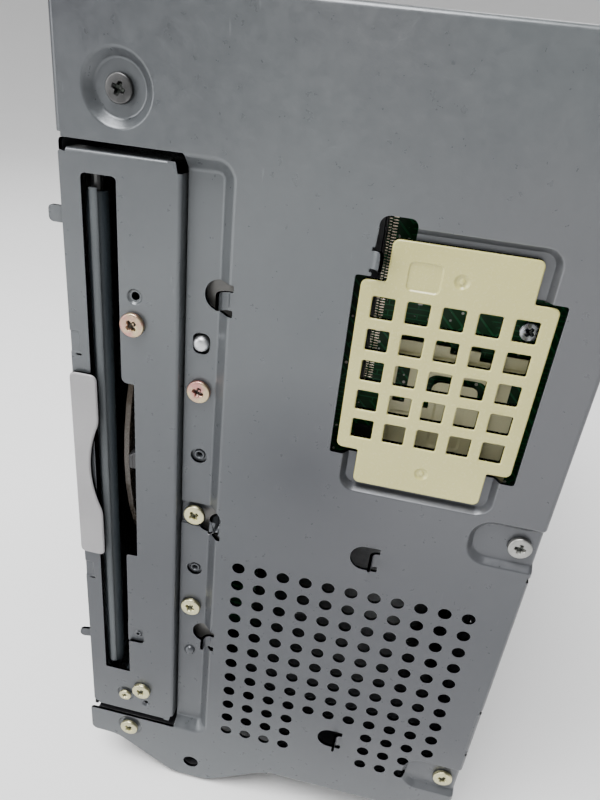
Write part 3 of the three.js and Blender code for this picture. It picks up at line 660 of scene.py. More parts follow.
drawnSteel = bareMetal("drawnSteel", (0.50, 0.52, 0.54), (0.40, 0.42, 0.44), (0.22, 0.38), (1, 1, 0.05))
castAluminium = bareMetal(
    "castAluminium", (0.60, 0.61, 0.62), (0.52, 0.53, 0.54), (0.34, 0.5), (1, 1, 1), 0.0005, 0.3,
)
# bare cut steel; its pale colour is partly the bare metal and partly a painted highlight on cut edges and
# hook tips
cutEdge = bareMetal("cutEdge", (0.74, 0.75, 0.76), (0.58, 0.59, 0.60), (0.24, 0.38))
darkSteel = bareMetal("darkSteel", (0.11, 0.11, 0.11), (0.07, 0.07, 0.07), (0.3, 0.45))
goldPin = bareMetal("goldPin", (0.66, 0.60, 0.47), (0.58, 0.52, 0.40), (0.2, 0.32))
blackPlastic = mouldedPlastic(
    "blackPlastic", (0.014, 0.014, 0.016), (0.020, 0.020, 0.022), (0.38, 0.52), 0.0004, 0.25,
)
smokePlastic = mouldedPlastic(
    "smokePlastic", (0.045, 0.036, 0.028), (0.06, 0.048, 0.036), (0.22, 0.32), 0.0006, 0.06,
)
darkRubber = mouldedPlastic(
    "darkRubber", (0.018, 0.026, 0.033), (0.024, 0.033, 0.040), (0.55, 0.7), 0.0004, 0.2,
)
feltGrey = mouldedPlastic("feltGrey", (0.085, 0.094, 0.100), (0.068, 0.076, 0.082), (0.7, 0.85), 0.0003, 0.5)
beigePlastic = mouldedPlastic(
    "beigePlastic", (0.70, 0.67, 0.42), (0.62, 0.59, 0.34), (0.35, 0.5), 0.0006, 0.08,
)
frontCircuit = circuitSurface("frontCircuit", 0, 2)
sideCircuit = circuitSurface("sideCircuit", 1, 2)
flatCircuit = circuitSurface("flatCircuit", 0, 1)
print("surfaces ready:", len(looks))

# front plate

plate = {
    "bend": 1.2, "flange": 12.0,
    "ventPitch": 6.0, "ventRadius": 1.7, "ventFirst": (-13.5, 95.2), "ventSides": 26,
    "bayRight": -30.5, "bayBottom": 23.9, "bayTop": 196.3,
    "channel": (-37.8, -19.5, 23.8, 196.6, 4.6, 2.8, 3.8),
    "step": (-36.0, -19.2, 103.2, 112.0, 2.4, 3.7, 1.1),
    "grillePress": (8.6, 44.4, 126.4, 188.8, 4.0, 2.0, 1.6),
    "screwDish": (-44.1, 206.2, 7.5, 2.0, 2.5), "screwRing": (-45.2, 19.7, 4.1, 0.45, 0.7),
    "edgeDishes": (119.4, 31.0), "edgeDish": (40.6, 75.0, 6.65, 5.7, 1.7, 2.1),
    "standHole": (-24.5, 8.8, 2.45), "blindHoles": ((-26.3, 125.9), (-26.4, 89.2)), "blindRadius": 2.1,
    "cornerRecess": (56.0, 75.0, 45.4, 62.0, 0.8, 0.45, 0.7),
    "notchTab": {"start": 8.5, "radius": 1.3, "low": 179.55, "high": 183.25, "turn": 80, "reach": 3.7},
    "backing": (-30.2, -16.5, 58, 176, 1.0), "backingDepth": 5.2,
    "faceHooks": ((14.6, 107.4), (14.6, 37.2)),
    "channelHooks": ((-26.2, 167.9), (-26.2, 106.4), (-26.2, 65.7)),
    "hookHeight": 7.2, "hookHalf": 2.0, "hookRelief": 0.7,
    "edgeSlits": (110.8, 62.8, 44.6),
}


def pinPlace():
    # middle of the locating pin, a little to the lower left of the middle of its node
    low, high = nodeBox("locating_pin")
    return (low[0] + high[0]) / 2 - 0.35, (low[2] + high[2]) / 2 - 0.5


def hookHoleLoop(left, z, tabLength, tip):
    # a hole with a round left end; at its straight right end a tab reaches back into the hole
    height, half, relief = plate["hookHeight"], plate["hookHalf"], plate["hookRelief"]
    r, right = height / 2 - 0.1, left + plate["hookHeight"]
    low, high = z - height / 2, z + height / 2
    root, end = right - 0.1, right - relief - tabLength
    return roundedLoop([
        (left, low, r), (root, low, 0.3), (root, z - half, 0.3), (right - relief - 0.1, z - half),
        (end, z - half, tip), (end, z + half, tip), (right - relief - 0.1, z + half),
        (root, z + half, 0.3), (root, high, 0.3), (left, high, r),
    ], 7)


def plateOutline():
    # the flat pattern: the face, the tongue, the bay cut out of it, and flanges on three sides
    half, top, low, bend = caseHalf, caseTop, caseBottom, plate["bend"]
    reach = foldEnd(bend, plate["flange"])
    ridge = half - bend
    return roundedLoop([
        (-58.5, 13.6, 1.8), (-49.8, 13.6, 12), (-30.9, 1.6, 10), (-18.9, 1.6, 12), (-0.9, low, 6), (1.2, low),
        (1.2, low - reach, 1), (ridge, low - reach, 1), (ridge, low + bend), (half + reach, low + bend, 1),
        (half + reach, top - bend, 1), (ridge, top - bend), (ridge, top + reach, 1), (-ridge, top + reach, 1),
        (-ridge, top - bend), (-half - reach, top - bend, 1), (-half - reach, 197.2, 1), (-ridge, 197.2),
        (-ridge, plate["bayTop"]), (plate["bayRight"], plate["bayTop"], 0.6),
        (plate["bayRight"], plate["bayBottom"], 0.6),
        (-57.5, plate["bayBottom"], 0.3), (-58.5, 23.5, 0.3),
    ], 8)


def plateHoles():
    # vents at first + i pitch, first - j pitch, without the places near the lower hook and corner
    x0, z0 = plate["ventFirst"]
    step = plate["ventPitch"]
    vents = [
        circleLoop(x0 + i * step, z0 - j * step, plate["ventRadius"], plate["ventSides"])
        for j in range(12) for i in range(11)
        if not (j > 8 and 3 < i < 7) and not (j > 9 and i > 9)
    ]
    grille = roundedLoop([
        (5.7, 136.2, 0.6), (47.3, 136.2, 0.6), (47.3, 178.1, 0.6), (16.3, 178.1, 0.3), (16.3, 190.3, 1.6),
        (8.9, 190.3, 2.0), (8.9, 183.9, 0.2), (8.25, 183.9, 0.1), (8.25, 183.2), (12.0, 183.2, 1.3),
        (12.0, 179.6, 1.3), (8.25, 179.6), (8.25, 178.9, 0.1), (8.9, 178.9, 0.2), (8.9, 178.1, 0.2),
        (5.7, 178.1, 0.6),
    ])
    hooks = [hookHoleLoop(x, z, 3.2, 0.5) for x, z in plate["faceHooks"]]
    hooks += [hookHoleLoop(x, z, 3.4, 1.0) for x, z in plate["channelHooks"]]
    pinX, pinZ = pinPlace()
    small = [rectLoop(pinX - 2.0, pinX + 2.0, pinZ - 2.5, pinZ + 2.5, 1.5)]
    small += [circleLoop(x, z, plate["blindRadius"], 32) for x, z in plate["blindHoles"]]
    small += [rectLoop(56.7, 58.6, z - 0.7, z + 0.7, 0.3, 3) for z in plate["edgeSlits"]]
    stand = circleLoop(*plate["standHole"], 30)
    return vents + [grille, stand] + hooks + small


def frontPlateShape():
    # the plate with its channel, dishes and steps pressed in, its flanges and tabs folded
    half, bend = caseHalf, plate["bend"]
    pressings = [
        pressedRect(*plate["channel"]), pressedRect(*plate["grillePress"]),
        pressedCircle(*plate["screwDish"]), pressedCircle(*plate["screwRing"]),
        pressedRect(*plate["cornerRecess"]), pressedRect(*plate["step"]),
    ]
    left, right, tall, radius, depth, slope = plate["edgeDish"]
    for z in plate["edgeDishes"]:
        pressings.append(pressedRect(left, right, z - tall, z + tall, radius, depth, slope))
    folds = [
        fold(0, 1, half - bend, bend, caseBottom + bend - 0.05, caseTop - bend + 0.05),
        fold(0, -1, bend - half, bend, 197.1, caseTop - bend + 0.05),
        fold(1, 1, caseTop - bend, bend, -half + bend - 0.05, half - bend + 0.05),
        fold(1, -1, caseBottom + bend, bend, 1.15, half - bend + 0.05),
        fold(0, 1, lift=-1, **plate["notchTab"]),
    ]
    relief, tab = plate["hookRelief"], plate["hookHalf"] + 0.05
    for x, z in plate["faceHooks"]:
        root = x + plate["hookHeight"] - relief
        folds.append(fold(0, -1, root, 1.0, z - tab, z + tab, -1, 88, 3.3))
    for x, z in plate["channelHooks"]:
        root = x + plate["hookHeight"] - relief
        folds.append(fold(0, -1, root - 0.4, 1.5, z - tab, z + tab, -1, 100, 3.5))
    return formedSheet(plateOutline(), plateHoles(), pressings, folds)


sheetPiece(
    "frontPlate", "front", caseFront, frontPlateShape(), paintedPlate, slot="plate_steel",
    stands=["front_plate"],
)


def recessFloors():
    # the two blind holes of the channel: a collar and a floor with a raised middle behind each
    profile = [
        (0, 4.7), (0.6, 4.7), (0.68, 3.5), (0.9, 3.2), (1.2, 3.25), (1.45, 3.66), (2.9, 3.68),
        (2.9, 5.0), (0, 5.0),
    ]
    return joinParts([spun(profile, 32, "y", (x, caseFront, z)) for x, z in plate["blindHoles"]])


putMesh("channelNuts", *recessFloors(), paintedPlate)
backing = formedSheet(rectLoop(*plate["backing"]), [], thick=0.6)
sheetPiece("channelBacking", "front", caseFront + plate["backingDepth"], backing, innerPlate)
standX, standZ, standR = plate["standHole"]
# a black cup behind the stand hole: painted shade for the dark space under the case
standNut = [
    (0, 3.2), (standR - 0.1, 3.2), (standR, 0.85), (standR + 0.9, 0.85), (standR + 0.9, 3.7),
    (0, 3.7),
]
putMesh("standNut", *spun(standNut, 36, "y", (standX, caseFront, standZ)), blackPlastic)
# a black strip under the bay gap: painted shade seen through the gap
bayFloor = [((-56.4, caseFront + 0.95, 22.4), (-31.2, caseFront + 11, 23.6))]
putMesh("bayFloor", *blocks(bayFloor, 0.2), blackPlastic)
print("front plate ready")

# drive bracket

bracket = {
    "left": -57.1, "right": -30.9, "bottom": 26.5, "top": 194.5, "bend": 0.9, "wall": 34.0, "lip": 5.0,
    "slot": (-52.5, -44.8, 45.0, 190.0), "notch": (-41.7, 91.6, 143.8), "pocket": (-40.2, 58.4, 64.4),
    "collar": (-41.2, 165.4, 1.9, 0.55, 0.6), "smallRecess": (-46.3, 34.7, 2.9, 0.45, 0.6),
    "dimple": (-39.8, 32.1, 1.4, 0.5, 0.7), "lances": ((149.4, 155.0), (80.6, 86.2)),
}


def bracketShape():
    # the flat pattern of the raised front, its side wall and two lips, folded and pressed
    left, right, low, high = (bracket[k] for k in ("left", "right", "bottom", "top"))
    bend = bracket["bend"]
    ridge, wall, lip = right - bend, foldEnd(bend, bracket["wall"]), foldEnd(bend, bracket["lip"])
    outline = roundedLoop([
        (left, low, 1.6), (left + 1.6, low + bend), (left + 1.6, low - lip, 0.8),
        (ridge - 2.2, low - lip, 0.8),
        (ridge - 2.2, low + bend), (ridge - 2.2, low, 0.2), (ridge - 0.4, low, 0.3),
        (ridge, low + 2.2), (right + wall, low + 2.2, 2),
        (right + wall, high - 2.2, 2), (ridge, high - 2.2), (ridge - 0.4, high, 0.3),
        (ridge - 2.2, high, 0.2), (ridge - 2.2, high - bend),
        (ridge - 2.2, high + lip, 0.8), (left + 1.6, high + lip, 0.8), (left + 1.6, high - bend),
        (left, high - 0.6, 0.5),
    ], 5)
    sl, sr, sb, st = bracket["slot"]
    nr, nb, nt = bracket["notch"]
    pr, pb, pt = bracket["pocket"]
    mouth = roundedLoop([
        (sl, sb, 0.3), (sr, sb, 0.3), (sr, pb - 0.1, 0.5), (pr, pb, 1.2), (pr, pt, 1.2), (sr, pt, 0.5),
        (sr, nb, 0.8), (nr, nb, 0.4), (nr, nt, 0.4), (sr, nt, 1.4), (sr, st, 1.0), (sl, st, 1.0),
    ])
    holes = [mouth, circleLoop(-41.2, 165.4, 0.95, 24), circleLoop(-39.8, 32.1, 0.6, 18)]
    pressings = [
        pressedCircle(*bracket["collar"]), pressedCircle(*bracket["smallRecess"]),
        pressedCircle(*bracket["dimple"]),
    ]
    for a, b in bracket["lances"]:
        pressings.append(pressedRect(left - 4, -54.6, a, b, 0.6, 0.3, 0.5))
        holes.append(rectLoop(-55.9, -54.5, a - 0.55, a - 0.1, 0.2, 3))
    folds = [
        fold(0, 1, ridge, bend, low + 2.15, high - 2.15),
        fold(1, 1, high - bend, bend, left + 1.55, ridge - 2.15),
        fold(1, -1, low + bend, bend, left + 1.55, ridge - 2.15),
    ]
    return formedSheet(outline, holes, pressings, folds)


sheetPiece(
    "driveBracket", "front", caseFront, bracketShape(), paintedPlate, slot="plate_steel",
    stands=["drive_bracket"],
)


def pocketPlate():
    # the lower layer that shows in the pocket, with its own small collared hole
    outline = rectLoop(-45.4, -38.6, 57.2, 65.6, 0.8)
    return formedSheet(
        outline, [circleLoop(-42.2, 61.3, 0.45, 16)], [pressedCircle(-42.2, 61.3, 1.3, -0.35, 0.5)],
        thick=0.6,
    )


sheetPiece("pocketPlate", "front", caseFront + 0.95, pocketPlate(), paintedPlate)
notchLip = [  # pale return lip along the inner edge of the finger notch, in two lengths
    ((-41.9, caseFront + 0.9, 92.0), (-41.0, caseFront + 3.4, 117.2)),
    ((-41.9, caseFront + 0.9, 124.4), (-41.0, caseFront + 3.4, 143.4)),
]
putMesh("notchLip", *blocks(notchLip, 0.2), feltGrey)
latch = [
    ((-43.6, caseFront + 2.2, 118.4), (-41.6, caseFront + 5.5, 123.2)),
    ((-45.0, caseFront + 3.2, 117.6), (-43.4, caseFront + 6.5, 121.8)),
]
putMesh("slotLatch", *blocks(latch, 0.25), blackPlastic)
print("drive bracket ready")

# finger trim: a scalloped strip with rounded rims

trim = {
    "left": -57.3, "right": -50.5, "bottom": 90.7, "top": 144.9, "scallopMiddle": (-19.7, 118.6),
    "scallopRadius": 33.5,
}


def trimShape():
    # a rounded strip whose right side is bitten away by a circle about the scallop's middle
    x, z = trim["scallopMiddle"]
    r = trim["scallopRadius"]
    reach = math.asin(math.sqrt(max(r * r - (x - trim["right"]) ** 2, 0)) / r)
    t = np.linspace(-reach * 0.93, reach * 0.93, 29)
    bite = np.stack([x - r * np.cos(t), z + r * np.sin(t)], 1)
    corners = rectLoop(trim["left"], trim["right"], trim["bottom"], trim["top"], 1.5, 6)
    low, high = corners[:14], corners[14:]
    ease = np.array([[trim["right"], bite[0][1] - 2.4], [trim["right"] - 0.06, bite[0][1] - 1.2]])
    easeUp = np.array([[trim["right"] - 0.06, bite[-1][1] + 1.2], [trim["right"], bite[-1][1] + 2.4]])
    outline = np.concatenate([low, ease, bite, easeUp, high])
    rim = ((0.0, 0.42), (0.10, 0.20), (0.24, 0.06), (0.42, 0.0))
    return formedSheet(outline, [], [], [], 1.2, rim, "flat")


sheetPiece(
    "fingerTrim", "front", caseFront - 1.5, trimShape(), whiteTrim, slot="white_plastic",
    stands=["finger_relief_trim"],
)

# grille cover: moulded, with 25 windows, two gate marks and a blank recess

grille = {
    "wide": (7.0, 46.1, 137.8, 177.4), "tongue": (12.0, 41.0, 129.1, 186.1), "corner": 1.4, "thick": 1.5,
    "windowFirst": (12.15, 171.7), "windowStep": (7.16, -7.1), "windowHalf": 2.32,
    "gates": ((26.5, 179.7), (27.0, 134.6)), "recess": (15.8, 22.8, 176.2, 182.5),
}


def grilleShape():
    # a cross-shaped outline with windows at first + i step, first + j step
    l, r, b, t = grille["wide"]
    tl, tr, tb, tt = grille["tongue"]
    c = grille["corner"]
    outline = roundedLoop([
        (l, b, c), (tl, b, 0.5), (tl, tb, c), (tr, tb, c), (tr, b, 0.5), (r, b, c),
        (r, t, c), (tr, t, 0.5), (tr, tt, c), (tl, tt, c), (tl, t, 0.5), (l, t, c),
    ], 7)
    x0, z0 = grille["windowFirst"]
    dx, dz = grille["windowStep"]
    h = grille["windowHalf"]
    holes = [
        rectLoop(x0 + i * dx - h, x0 + i * dx + h, z0 + j * dz - h, z0 + j * dz + h, 0.35, 4)
        for i in range(5) for j in range(5)
    ]
    pressings = [pressedRect(*grille["recess"], 1.2, 0.3, 0.45)]
    for x, z in grille["gates"]:
        pressings += [pressedCircle(x, z, 1.7, 0.42, 0.75, 40)]
    rim = ((0.0, 0.38), (0.09, 0.17), (0.22, 0.05), (0.40, 0.0))
    return formedSheet(outline, holes, pressings, [], grille["thick"], rim, "flat")


coverFace = nodeBox("grille_cover")[0][1]
sheetPiece(
    "grilleCover", "front", coverFace, grilleShape(), creamCover, slot="cream_plastic",
    stands=["grille_cover"],
)
gateDots = [
    spun(
        [(0, -0.18), (0.3, -0.16), (0.55, -0.06), (0.68, 0.12), (0.7, 0.3), (0, 0.3)], 28, "y",
        (x, coverFace + 0.3, z),
    )
    for x, z in grille["gates"]
]
putMesh("gateDots", *joinParts(gateDots), creamCover)
print("grille cover ready")

# screws: flat heads with a cross recess

screwLook = {
    "crown": 0.10, "edge": 0.34, "armHalf": 0.50, "armLength": 1.36, "recess": 0.85, "spokes": 72,
}


def crossScrew(x, z, seatY, headRadius, headHeight, turn, scale=1.0):
    # height = head - crown (r/R)^2 - edge rounding - recess, where the recess is the deeper of two
    # bars: depth (1 - |across| / armHalf) eased, fading to its ends
    look = screwLook
    r = np.concatenate([np.linspace(0, 1.9 * scale, 24)[1:], np.linspace(1.9 * scale, headRadius, 11)[1:]])
    t = np.arange(look["spokes"]) * 2 * math.pi / look["spokes"]
    rr, tt = np.meshgrid(r, t, indexing="ij")
    a, b = rr * np.cos(tt + turn), rr * np.sin(tt + turn)

    def arm(along, across):
        # 1 inside the bar and 0 outside, eased over its sides and fading to its ends
        wide = look["armHalf"] * scale * (1 - 0.25 * np.abs(along) / (look["armLength"] * scale))
        side = np.clip((wide + 0.12 * scale - np.abs(across)) / (0.24 * scale), 0, 1)
        ends = np.clip((look["armLength"] * scale - np.abs(along)) / (0.55 * scale), 0, 1)
        return side * side * (3 - 2 * side) * ends ** 0.7

    hollow = np.maximum(arm(a, b), arm(b, a)) * look["recess"] * scale
    middle = np.clip(1 - rr / (0.75 * scale), 0, 1) * 0.35 * scale
    share = np.clip((rr - (headRadius - look["edge"])) / look["edge"], 0, 1)
    drop = look["crown"] * (rr / headRadius) ** 2 + look["edge"] * 0.9 * (
        1 - np.sqrt(1 - share * share * 0.96)
    )
    height = headHeight - drop - hollow - np.where(hollow > 0.3 * scale, middle, 0)
    top = np.stack([x + rr * np.cos(tt), seatY - height, z + rr * np.sin(tt)], -1).reshape(-1, 3)
    centre = np.array([[x, seatY - (headHeight - look["recess"] * scale - 0.35 * scale), z]])
    base = np.stack([x + headRadius * np.cos(t), np.full(len(t), seatY), z + headRadius * np.sin(t)], 1)
    points = np.concatenate([centre, top, base, [[x, seatY, z]]])
    n, spokes = len(r), look["spokes"]
    index = 1 + np.arange((n + 1) * spokes).reshape(n + 1, spokes)
    inner, outer = index[:-1], index[1:]
    quads = np.stack([inner, outer, np.roll(outer, -1, 1), np.roll(inner, -1, 1)], -1).reshape(-1, 4)
    first, last = index[0], index[-1]
    faces = quads.tolist()
    faces += np.stack([np.zeros(spokes, int), first, np.roll(first, -1)], 1).tolist()
    faces += np.stack([np.full(spokes, len(points) - 1), np.roll(last, -1), last], 1).tolist()
    shade = np.concatenate(
        [[1.0], np.clip(hollow / (look["recess"] * scale), 0, 1).ravel(), np.zeros(len(base) + 1)]
    )
    return points, faces, shade


def putScrew(name, shape, material, **extra):
    # the recess share goes with each point, so that its surface can paint shade there
    points, faces, shade = shape
    piece = putMesh(name, points, faces, material, sharp=32, **extra)
    piece.data.attributes.new("recess", "FLOAT", "POINT").data.foreach_set("value", shade.astype(np.float32))
    return piece


screwFinish = {
    "screw_top": (darkSteel, 0.4), "screw_bracket_upper": (pinkZinc, 0.9),
    "screw_channel_upper": (pinkZinc, 0.3),
    "screw_bracket_small": (yellowZinc, 0.2), "screw_edge_upper": (greyZinc, 0.15),
    "screw_bottom_left": (yellowZinc, 0.7),
}
for index, name in enumerate(sorted(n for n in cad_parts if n.startswith("screw_"))):
    low, high = nodeBox(name)
    headRadius = (high[0] - low[0]) / 2
    scale = headRadius / 2.8
    material, turn = screwFinish.get(name, (yellowZinc, 0.5 * index))
    headHeight = 1.1 * scale
    shape = crossScrew(
        (low[0] + high[0]) / 2, (low[2] + high[2]) / 2, low[1] + headHeight + 0.02, headRadius,
        headHeight, turn, scale
    )
    made = "screw" + "".join(w.capitalize() for w in name.split("_")[1:])
    putScrew(made, shape, material, slot="zinc_screw", stands=[name])

# (radius, depth below the top) of the domed heads
pinDome = [(0, 0.02), (0.9, 0.06), (1.35, 0.22), (1.7, 0.55), (1.86, 1.1)]
rivetDome = [(0, 0), (0.6, 0.06), (1.1, 0.25), (1.45, 0.55), (1.6, 1.05), (1.2, 1.05)]
shankRadius = 0.9


def domedShape(nodeName, dome, shank, place):
    # the dome turned about Y, on a round shank down to the back of its node
    low, high = nodeBox(nodeName)
    profile = [(radius, low[1] + depth) for radius, depth in dome] + [(shank, high[1]), (0, high[1])]
    return spun(profile, 36, "y", (place[0], 0, place[1]))


pinShape = domedShape("locating_pin", pinDome, pinDome[-1][0], pinPlace())
putMesh("locatingPin", *pinShape, castAluminium, slot="bright_steel", stands=["locating_pin"])
rivetLow, rivetHigh = nodeBox("channel_rivet")
rivetPlace = (rivetLow[0] + rivetHigh[0]) / 2, (rivetLow[2] + rivetHigh[2]) / 2
rivetShape = domedShape("channel_rivet", rivetDome, shankRadius, rivetPlace)
putMesh("channelRivet", *rivetShape, paintedPlate, slot="plate_steel", stands=["channel_rivet"])
print("fasteners ready")

# behind the disc slot

rollerLow, rollerHigh = nodeBox("feed_roller")
rollerX, rollerY = (rollerLow[0] + rollerHigh[0]) / 2, (rollerLow[1] + rollerHigh[1]) / 2
rollerR = (rollerHigh[0] - rollerLow[0]) / 2


def rollerShape():
    # radius = R (1 - 0.10 at the middle, by a parabola), so that a disc is held by its rims
    z = np.linspace(rollerLow[2], rollerHigh[2], 25)
    share = (z - z.mean()) / (z[-1] - z[0]) * 2
    radius = rollerR * (1 - 0.10 * (1 - share * share))
    radius[[0, -1]] -= 0.25
    outer = list(zip(radius, z))
    bore = 1.45
    profile = [(bore, rollerLow[2])] + outer + [(bore, rollerHigh[2])]
    points, faces = spun(profile + [profile[0]], 32, "z", (rollerX, rollerY, 0))
    return points, faces


putMesh("feedRoller", *rollerShape(), darkRubber, body="feed_roller", slot="rubber", stands=["feed_roller"])


def feltStrip():
    # a brush strip beside the disc: half round in section, its front edge slightly wavy
    z = np.linspace(46.5, 187.0, 60)
    x = np.full_like(z, rollerX + 0.45) + 0.03 * np.sin(z * 0.9)
    path = np.stack([x, np.full_like(z, caseFront + 1.75), z], 1)
    points, faces = sweptTube(path, 0.95, 18)
    points[:, 1] = caseFront + 1.75 + (points[:, 1] - caseFront - 1.75) * 0.45
    return points, faces


putMesh("slotBrush", *feltStrip(), feltGrey)
marks = [
    ((-46.2, caseFront + 6.0, 163.8), (-45.2, caseFront + 6.6, 165.6)),
    ((-46.2, caseFront + 6.0, 76.6), (-45.2, caseFront + 6.6, 78.4)),
]
putMesh("slotMarks", *blocks(marks, 0.2), whiteTrim)
bearing = [
    spun([(1.3, 0), (1.7, 0), (1.9, 0.25), (1.9, 1.3), (1.3, 1.3), (1.3, 0)], 28, "z", (rollerX, rollerY, z))
    for z in (43.4, 189.4)
]
putMesh("rollerBearings", *joinParts(bearing), darkSteel)
print("disc slot ready")

# board, connector and holder behind the grille

boardFace = nodeBox("front_board")[0][1]
pins = {
    "first": 149.0, "last": 199.2, "step": 0.62, "columns": ((9.9, 10.8), (11.0, 12.1)),
    "body": (7.6, 9.8),
}


def connectorShape():
    # a housing and a lower shelf that the leads come out of
    low, high = nodeBox("board_connector")
    body = [
        ((pins["body"][0], low[1], low[2]), (pins["body"][1], high[1], high[2])),
        (
            (pins["body"][1] + 0.02, low[1] + 1.4, low[2] + 1.0),
            (pins["columns"][0][0] + 0.3, high[1], high[2] - 1.0),
        ),
    ]
    return blocks(body, 0.2)


def leadRows():
    # two rows of flat leads; the second row stands half a step higher
    rows = []
    for k, (a, b) in enumerate(pins["columns"]):
        z = np.arange(pins["first"] + k * pins["step"] / 2, pins["last"], pins["step"])
        depth = boardFace - (0.9 if k == 0 else 0.35)
        rows += [((a, depth, v - 0.13), (b, depth + 0.3, v + 0.13)) for v in z]
    return blocks(rows, 0.04)


putMesh("boardConnector", *connectorShape(), blackPlastic, slot="black_plastic", stands=["board_connector"])
putMesh("connectorPins", *leadRows(), goldPin)

holder = {"outline": (16.4, 47.2, 129.5, 162.0), "thick": 1.1, "depth": 10.6}


def holderShape():
    # a moulded plate with two notches in its top edge, an arched slot and two windows
    left, right, low, high = holder["outline"]
    outline = roundedLoop([
        (left, low, 1), (right, low, 1), (right, high, 1), (37.8, high, 0.3), (37.8, 159.8, 0.4),
        (34.8, 159.8, 0.4),
        (34.8, high, 0.3), (30.1, high, 0.3), (30.1, 160.4, 0.4), (28.2, 160.4, 0.4),
        (28.2, high, 0.3), (left, high, 1),
    ])
    arch = roundedLoop([
        (24.4, 146.1, 0.3), (26.0, 146.1, 0.3), (26.0, 153.2, 2.0), (36.3, 153.2, 1.6), (36.3, 149.6, 0.3),
        (37.9, 149.6, 0.3), (37.9, 154.8, 1.8), (24.4, 154.8, 2.6),
    ])
    holes = [rectLoop(17.6, 20.4, 146.6, 156.4, 0.3), arch, rectLoop(43.0, 46.0, 148.6, 156.0, 0.3)]
    presses = [
        pressedRect(27.2, 35.2, 136.0, 151.0, 1.5, 0.35, 0.8),
        pressedRect(17.5, 23.0, 133.0, 144.5, 1.0, 0.3, 0.6),
    ]
    return formedSheet(outline, holes, presses, [], holder["thick"], ((0.0, 0.12), (0.15, 0.0)), "flat")


sheetPiece(
    "boardHolder", "front", caseFront + holder["depth"], holderShape(), beigePlastic,
    slot="beige_plastic", stands=["board_holder"],
)
holderRibs = [
    ((16.8, caseFront + 9.2, 158.4), (46.8, caseFront + 10.7, 159.2)),
    ((39.2, caseFront + 9.4, 131), (40.0, caseFront + 10.7, 161.5)),
]
putMesh("holderRibs", *blocks(holderRibs, 0.2), beigePlastic)
screwLow, screwHigh = nodeBox("board_screw")
shape = crossScrew(
    (screwLow[0] + screwHigh[0]) / 2 - 0.3, (screwLow[2] + screwHigh[2]) / 2, boardFace - 0.05, 2.2,
    1.5, 0.6, 0.82
)
putScrew("boardScrew", shape, brightSteel, slot="bright_steel", stands=["board_screw"])


def boardParts():
    # chips and small parts on the front board: (x, z, width, height, thickness)
    draw = np.random.default_rng(7)
    chips = [
        (20.2, 172.2, 3.2, 4.0, 0.9), (34.6, 173.2, 4.2, 3.0, 0.9), (28.0, 196.0, 7.0, 7.0, 1.0),
        (26.0, 122.0, 8.0, 5.0, 1.1), (12.0, 135.0, 4.0, 5.0, 1.0),
    ]
    rows = []
    for x, z, w, h, d in chips:
        rows.append(((x - w / 2, boardFace - d, z - h / 2), (x + w / 2, boardFace + 0.1, z + h / 2)))
    small = []
    for _ in range(70):
        x, z = draw.uniform(16, 50), draw.uniform(118, 204)
        if abs(x - 44) < 4 and abs(z - 168) < 4:
            continue
        w, h = (1.0, 0.5) if draw.random() < 0.5 else (0.5, 1.0)
        small.append(((x - w / 2, boardFace - 0.35, z - h / 2), (x + w / 2, boardFace + 0.05, z + h / 2)))
    return blocks(rows, 0.1), blocks(small, 0.06)


chipShape, smallShape = boardParts()
putMesh("boardChips", *chipShape, blackPlastic)
putMesh("boardResistors", *smallShape, greyZinc)
print("front board ready")

# side, top and rear sheets

shell = {
    "rear": 98.9, "front": -87.7, "tongue": 98.9, "tongueLow": 24.3, "tongueHigh": 195.9, "topHalf": 56.4,
    "tabs": ((178.7, 182.3, 1.0, 92), (54.5, 57.5, 1.3, 80)), "tabRise": 3.5, "tabBend": 0.8,
    "slotHalf": 1.5, "slotStep": 7.0, "emboss": 0.45,
}
tabLength = shell["tabBend"] * math.pi / 2 + shell["tabRise"] - shell["tabBend"]


def slotRow(first, count, low, high):
    # upright slots with round ends, one at each first + k step
    half = shell["slotHalf"]
    middles = first + shell["slotStep"] * np.arange(count)
    return [rectLoop(x - half, x + half, low, high, half - 0.05, 6) for x in middles]


def leftCoverShape():
    # a sheet with a front tongue; two tabs of the tongue are folded outwards
    rear, front, tongue = -shell["rear"], -shell["front"], shell["tongue"]
    corners = [(rear, caseBottom + 0.3, 0.5), (front, caseBottom + 0.3, 0.5), (front, shell["tongueLow"])]
    corners.append((tongue, shell["tongueLow"], 0.8))
    folds = []
    root = tongue - 2.3
    for low, high, tip, turn in reversed(shell["tabs"]):
        corners += [(tongue, low - 0.8, 0.3), (root, low - 0.8, 0.2), (root, low)]
        corners += [(root + 0.3 + tabLength, low, tip), (root + 0.3 + tabLength, high, tip)]
        corners += [(root, high), (root, high + 0.8, 0.2), (tongue, high + 0.8, 0.3)]
        folds.append(fold(0, 1, root + 0.3, shell["tabBend"], low - 0.05, high + 0.05, -1, turn))
    corners += [
        (tongue, shell["tongueHigh"], 0.8), (front, shell["tongueHigh"]), (front, caseTop, 0.5),
        (rear, caseTop, 0.5),
    ]
    holes = slotRow(-56.0, 9, 30, 48)
    presses = [pressedRect(-84, 72, 66, 206, 9, -shell["emboss"], 1.6)]
    return formedSheet(roundedLoop(corners, 6), holes, presses, folds)


